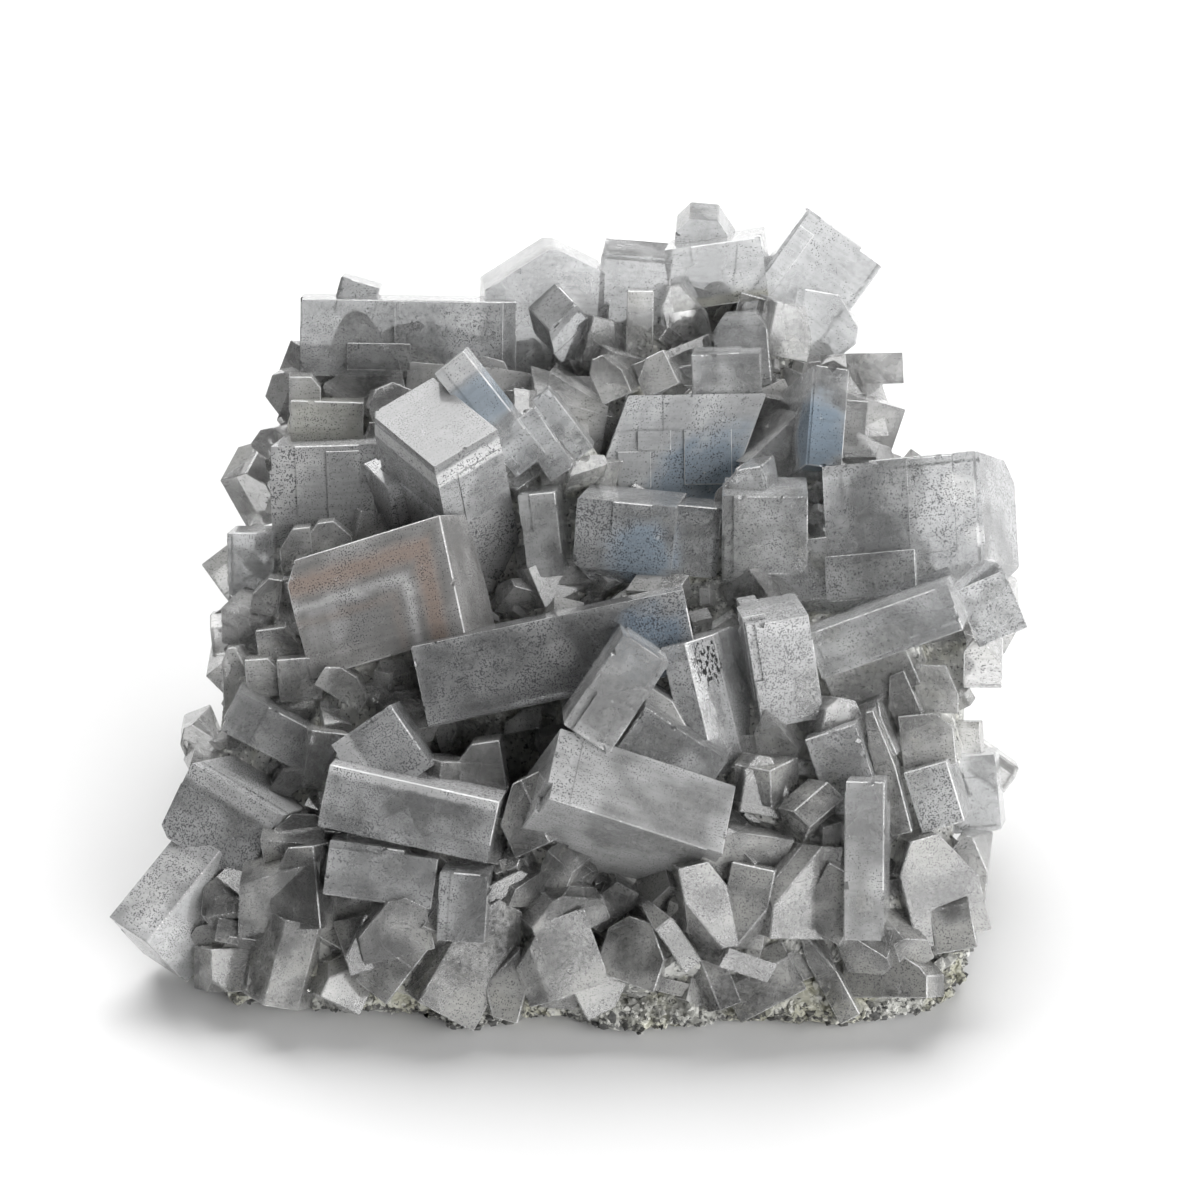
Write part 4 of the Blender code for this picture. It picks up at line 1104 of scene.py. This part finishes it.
# Tone, specks and clearness of each large crystal, and then its marks.
FINISH = {
    "back_centre": (0.66, 0.15, 0.82, patch((3, -5, 4), 4, gray(0.4), 0.5)),
    "back_leaning": (0.76, 0.1, 0.73),
    "back_top": (0.76, 0.1, 0.73, band(2, -4, -2.4, (0.5, 0.49, 0.36), 0.5)),
    "mid_top": (0.75, 0.15, 0.82),
    "back_left": (0.52, 0.6, 0.82),
    "olive_block": (0.80, 0.25, 0.73),
    "banded": (0.82, 0.2, 0.78),
    "right_upright": (0.72, 0.4, 0.82, patch((-2, -6, -2), 5.5, BLUE, 1.0)),
    "rhombic": (0.78, 0.6, 0.56, patch((4, -3.5, -3), 7.2, BLUE, 1.0)),
    # The tall post: a white band under its top, its top face darkened with painted shade against
    # the key lamp, and darker towards the bottom.
    "tall_post": (0.84, 0.8, 0.74, band(2, 9.4, 11.4, WHITE, 0.7, 0.3),
                  band(2, 11.9, 14, gray(0.22), 0.75, 0.1), band(2, -16, 3, gray(0.32), 0.9, 0.15)),
    "left_cube": (0.97, 0.9, 0.64),
    "left_outer": (0.70, 0.5, 0.82),
    "blue_tip": (0.80, 0.3, 0.82, band(2, 4.2, 9, gray(0.7), 0.5),
                 band(2, -1, 4.2, BLUE, 0.8, 0.8)),
    "blue_block": (0.62, 1.0, 0.78, patch((2, -4, -1), 4.6, BLUE, 0.95)),
    "slim": (0.75, 0.3, 0.82),
    # White fractures at the right end, painted brighter as a glint where they catch the light.
    "right_stepped": (0.82, 0.75, 0.81, patch((6.4, -6.7, 3.4), 2.2, WHITE, 0.95),
                      patch((7.8, -6, -1.6), 1.5, WHITE, 0.8)),
    "right_bar": (0.92, 0.5, 0.81),
    "brown_plate": (0.58, 0.75, 0.63, patch((-2.5, -5, -1.5), 3.6, gray(0.2), 0.75),
                    patch((-6, -5, -1), 3.0, WHITE, 0.3),
                    chevron(9, 6.25, 1.6, 3.9, BROWN, 0.8, 0.8),
                    chevron(9, 6.25, 4.6, 5.6, WHITE, 0.45),
                    chevron(9, 6.25, 6.2, 7.2, BROWN, 0.35)),
    "long_prism": (0.42, 1.0, 0.71, patch((10, -4.5, -0.5), 5, (0.13, 0.17, 0.215), 0.95),
                   patch((1, -4.5, 0.5), 2.2, gray(0.6), 0.5)),
    "spotted_post": (0.78, 0.6, 0.82, black_spots((1.5, -3, 4.4), 3.0)),
    "bright_post": (0.64, 0.95, 0.78, band(2, 4, 6.5, WHITE, 0.35)),
    "striated": (0.82, 0.45, 0.78),
    "mid_slab": (0.66, 0.8, 0.82),
    "hollow_plate": (0.56, 0.9, 0.82, band(0, -4.5, -1.5, WHITE, 0.5)),
    "left_bar": (0.65, 0.9, 0.78),
    "left_plate": (0.69, 1.0, 0.78, band(2, 2.4, 5, gray(0.7), 0.6)),
    "corner_blade": (0.95, 0.8, 0.70),
    "front_bar": (0.64, 0.9, 0.82, band(2, 2.2, 4, gray(0.75), 0.6)),
    "front_block": (0.66, 0.6, 0.82),
    "front_chisel": (0.62, 0.4, 0.71),
    "right_block": (0.84, 0.9, 0.78),
    "thin_bar": (0.88, 0.5, 0.73),
    "right_small": (0.88, 0.8, 0.78),
    "right_pale": (0.86, 0.3, 0.82),
}
PLAIN = (0.5, 0.5, 0.7)  # the crystals at the back
SLOT = {part["node"]: part["material_slot"] for part in frame["record"]["subparts"]}

for key, items in LARGE.items():
    node_name = "crystal_" + key
    tone, specks, clear, *marks = FINISH.get(key, PLAIN)
    look = crystal_material("barite_" + key, items[0]["size"], tone, specks, clear,
                            TINT[SLOT[node_name]], marks)
    piece = dressed_crystal(node_name, items, look)
    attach(piece, "root")
    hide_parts(node_name)
    SLOT[node_name]

rock_bm = rock()
for piece in druse(rock_bm):
    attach(piece, "root")
crust_look = crust_material()
foot, spots = crust(crust_look)
for piece in (foot, crumbs(spots, crust_look)):
    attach(piece, "root")
rock_bm.transform(Matrix.Scale(MM, 4))
matrix = to_object("rock_wedge", rock_bm)
matrix.data.materials.append(rock_material())
matrix.location = CENTRE * MM
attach(matrix, "root")
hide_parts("matrix")


# ---- stage, light, camera

FLOOR = 0.74  # how pale the ground is
SKY_LOW = 0.75  # the dome at the horizon and overhead
SKY_HIGH = 0.95
SKY_FRONT = 1.4  # and the glow low down in front and behind
SKY_REAR = 1.4
# Name, place, width and depth in metres, and watts.
LAMPS = (("key", (-0.05, 0.66, 0.95), (1.4, 1.1), 27.0),
         ("fill", (0.91, -0.8, 0.42), (1.9, 0.8), 28.0))
ELEVATION = 32  # of the camera above the horizon, in degrees
REACH = 420  # from the camera to its target, mm
TARGET = Vector((2.0, 0.0, 22.4))  # in the tables' millimetres
SENSOR = 36.0  # width of the sensor, mm
PHOTO = 1200  # width of the photo, in pixels
SCALE = 9.2  # pixels in the photo to a millimetre at the target
RAISED = 20  # pixels by which the view is shifted up


def stage():
    bm = bmesh.new()
    bmesh.ops.create_grid(bm, x_segments=1, y_segments=1, size=3.0)
    n = Nodes("floor_white")
    n.set("Base Color", gray(FLOOR))
    n.set("Roughness", 0.9)
    floor = to_object("stage_floor", bm)
    floor.data.materials.append(n.mat)
    floor.location.z = -0.0001


def sky():
    """A soft dome, with a glow low down in front and behind."""
    world = bpy.data.worlds.new("studio")
    bpy.context.scene.world = world
    world.use_nodes = True
    n = Graph(world.node_tree)
    _, along, up = n.split(n.new("TexCoord").outputs["Generated"])
    front = n.span(along, -0.9, 0.1, SKY_FRONT, 0.0)
    rear = n.span(along, 0.1, 0.8, 0.0, SKY_REAR)
    low = n.span(up, 0.3, 0.75, 1.0, 0.0)
    dome = n.span(up, 0.0, 0.8, SKY_LOW, SKY_HIGH)
    glow = n.times(n.plus(front, rear), low)
    n.feed(n.tree.nodes["Background"].inputs["Strength"], n.plus(dome, glow))


def lights():
    for name, place, size, power in LAMPS:
        data = bpy.data.lights.new(name, "AREA")
        data.shape = "RECTANGLE"
        data.size, data.size_y = size
        data.energy = power
        lamp = shown(name, data)
        lamp.location = place
        lamp.rotation_euler = (-Vector(place)).to_track_quat("-Z", "Y").to_euler()


def camera():
    data = bpy.data.cameras.new("camera")
    cam = shown("camera", data)
    elevation = math.radians(ELEVATION)
    forward = Vector((0, math.cos(elevation), -math.sin(elevation)))
    cam.location = (TARGET + CENTRE) * MM - forward * (REACH * MM)
    cam.rotation_euler = forward.to_track_quat("-Z", "Y").to_euler()
    data.sensor_width = SENSOR
    data.sensor_fit = "HORIZONTAL"
    data.lens = SENSOR * SCALE * REACH / PHOTO
    data.shift_y = RAISED / PHOTO
    data.clip_start = 0.01
    bpy.context.scene.camera = cam


stage()
sky()
lights()
camera()
bpy.context.scene.view_settings.view_transform = "Standard"
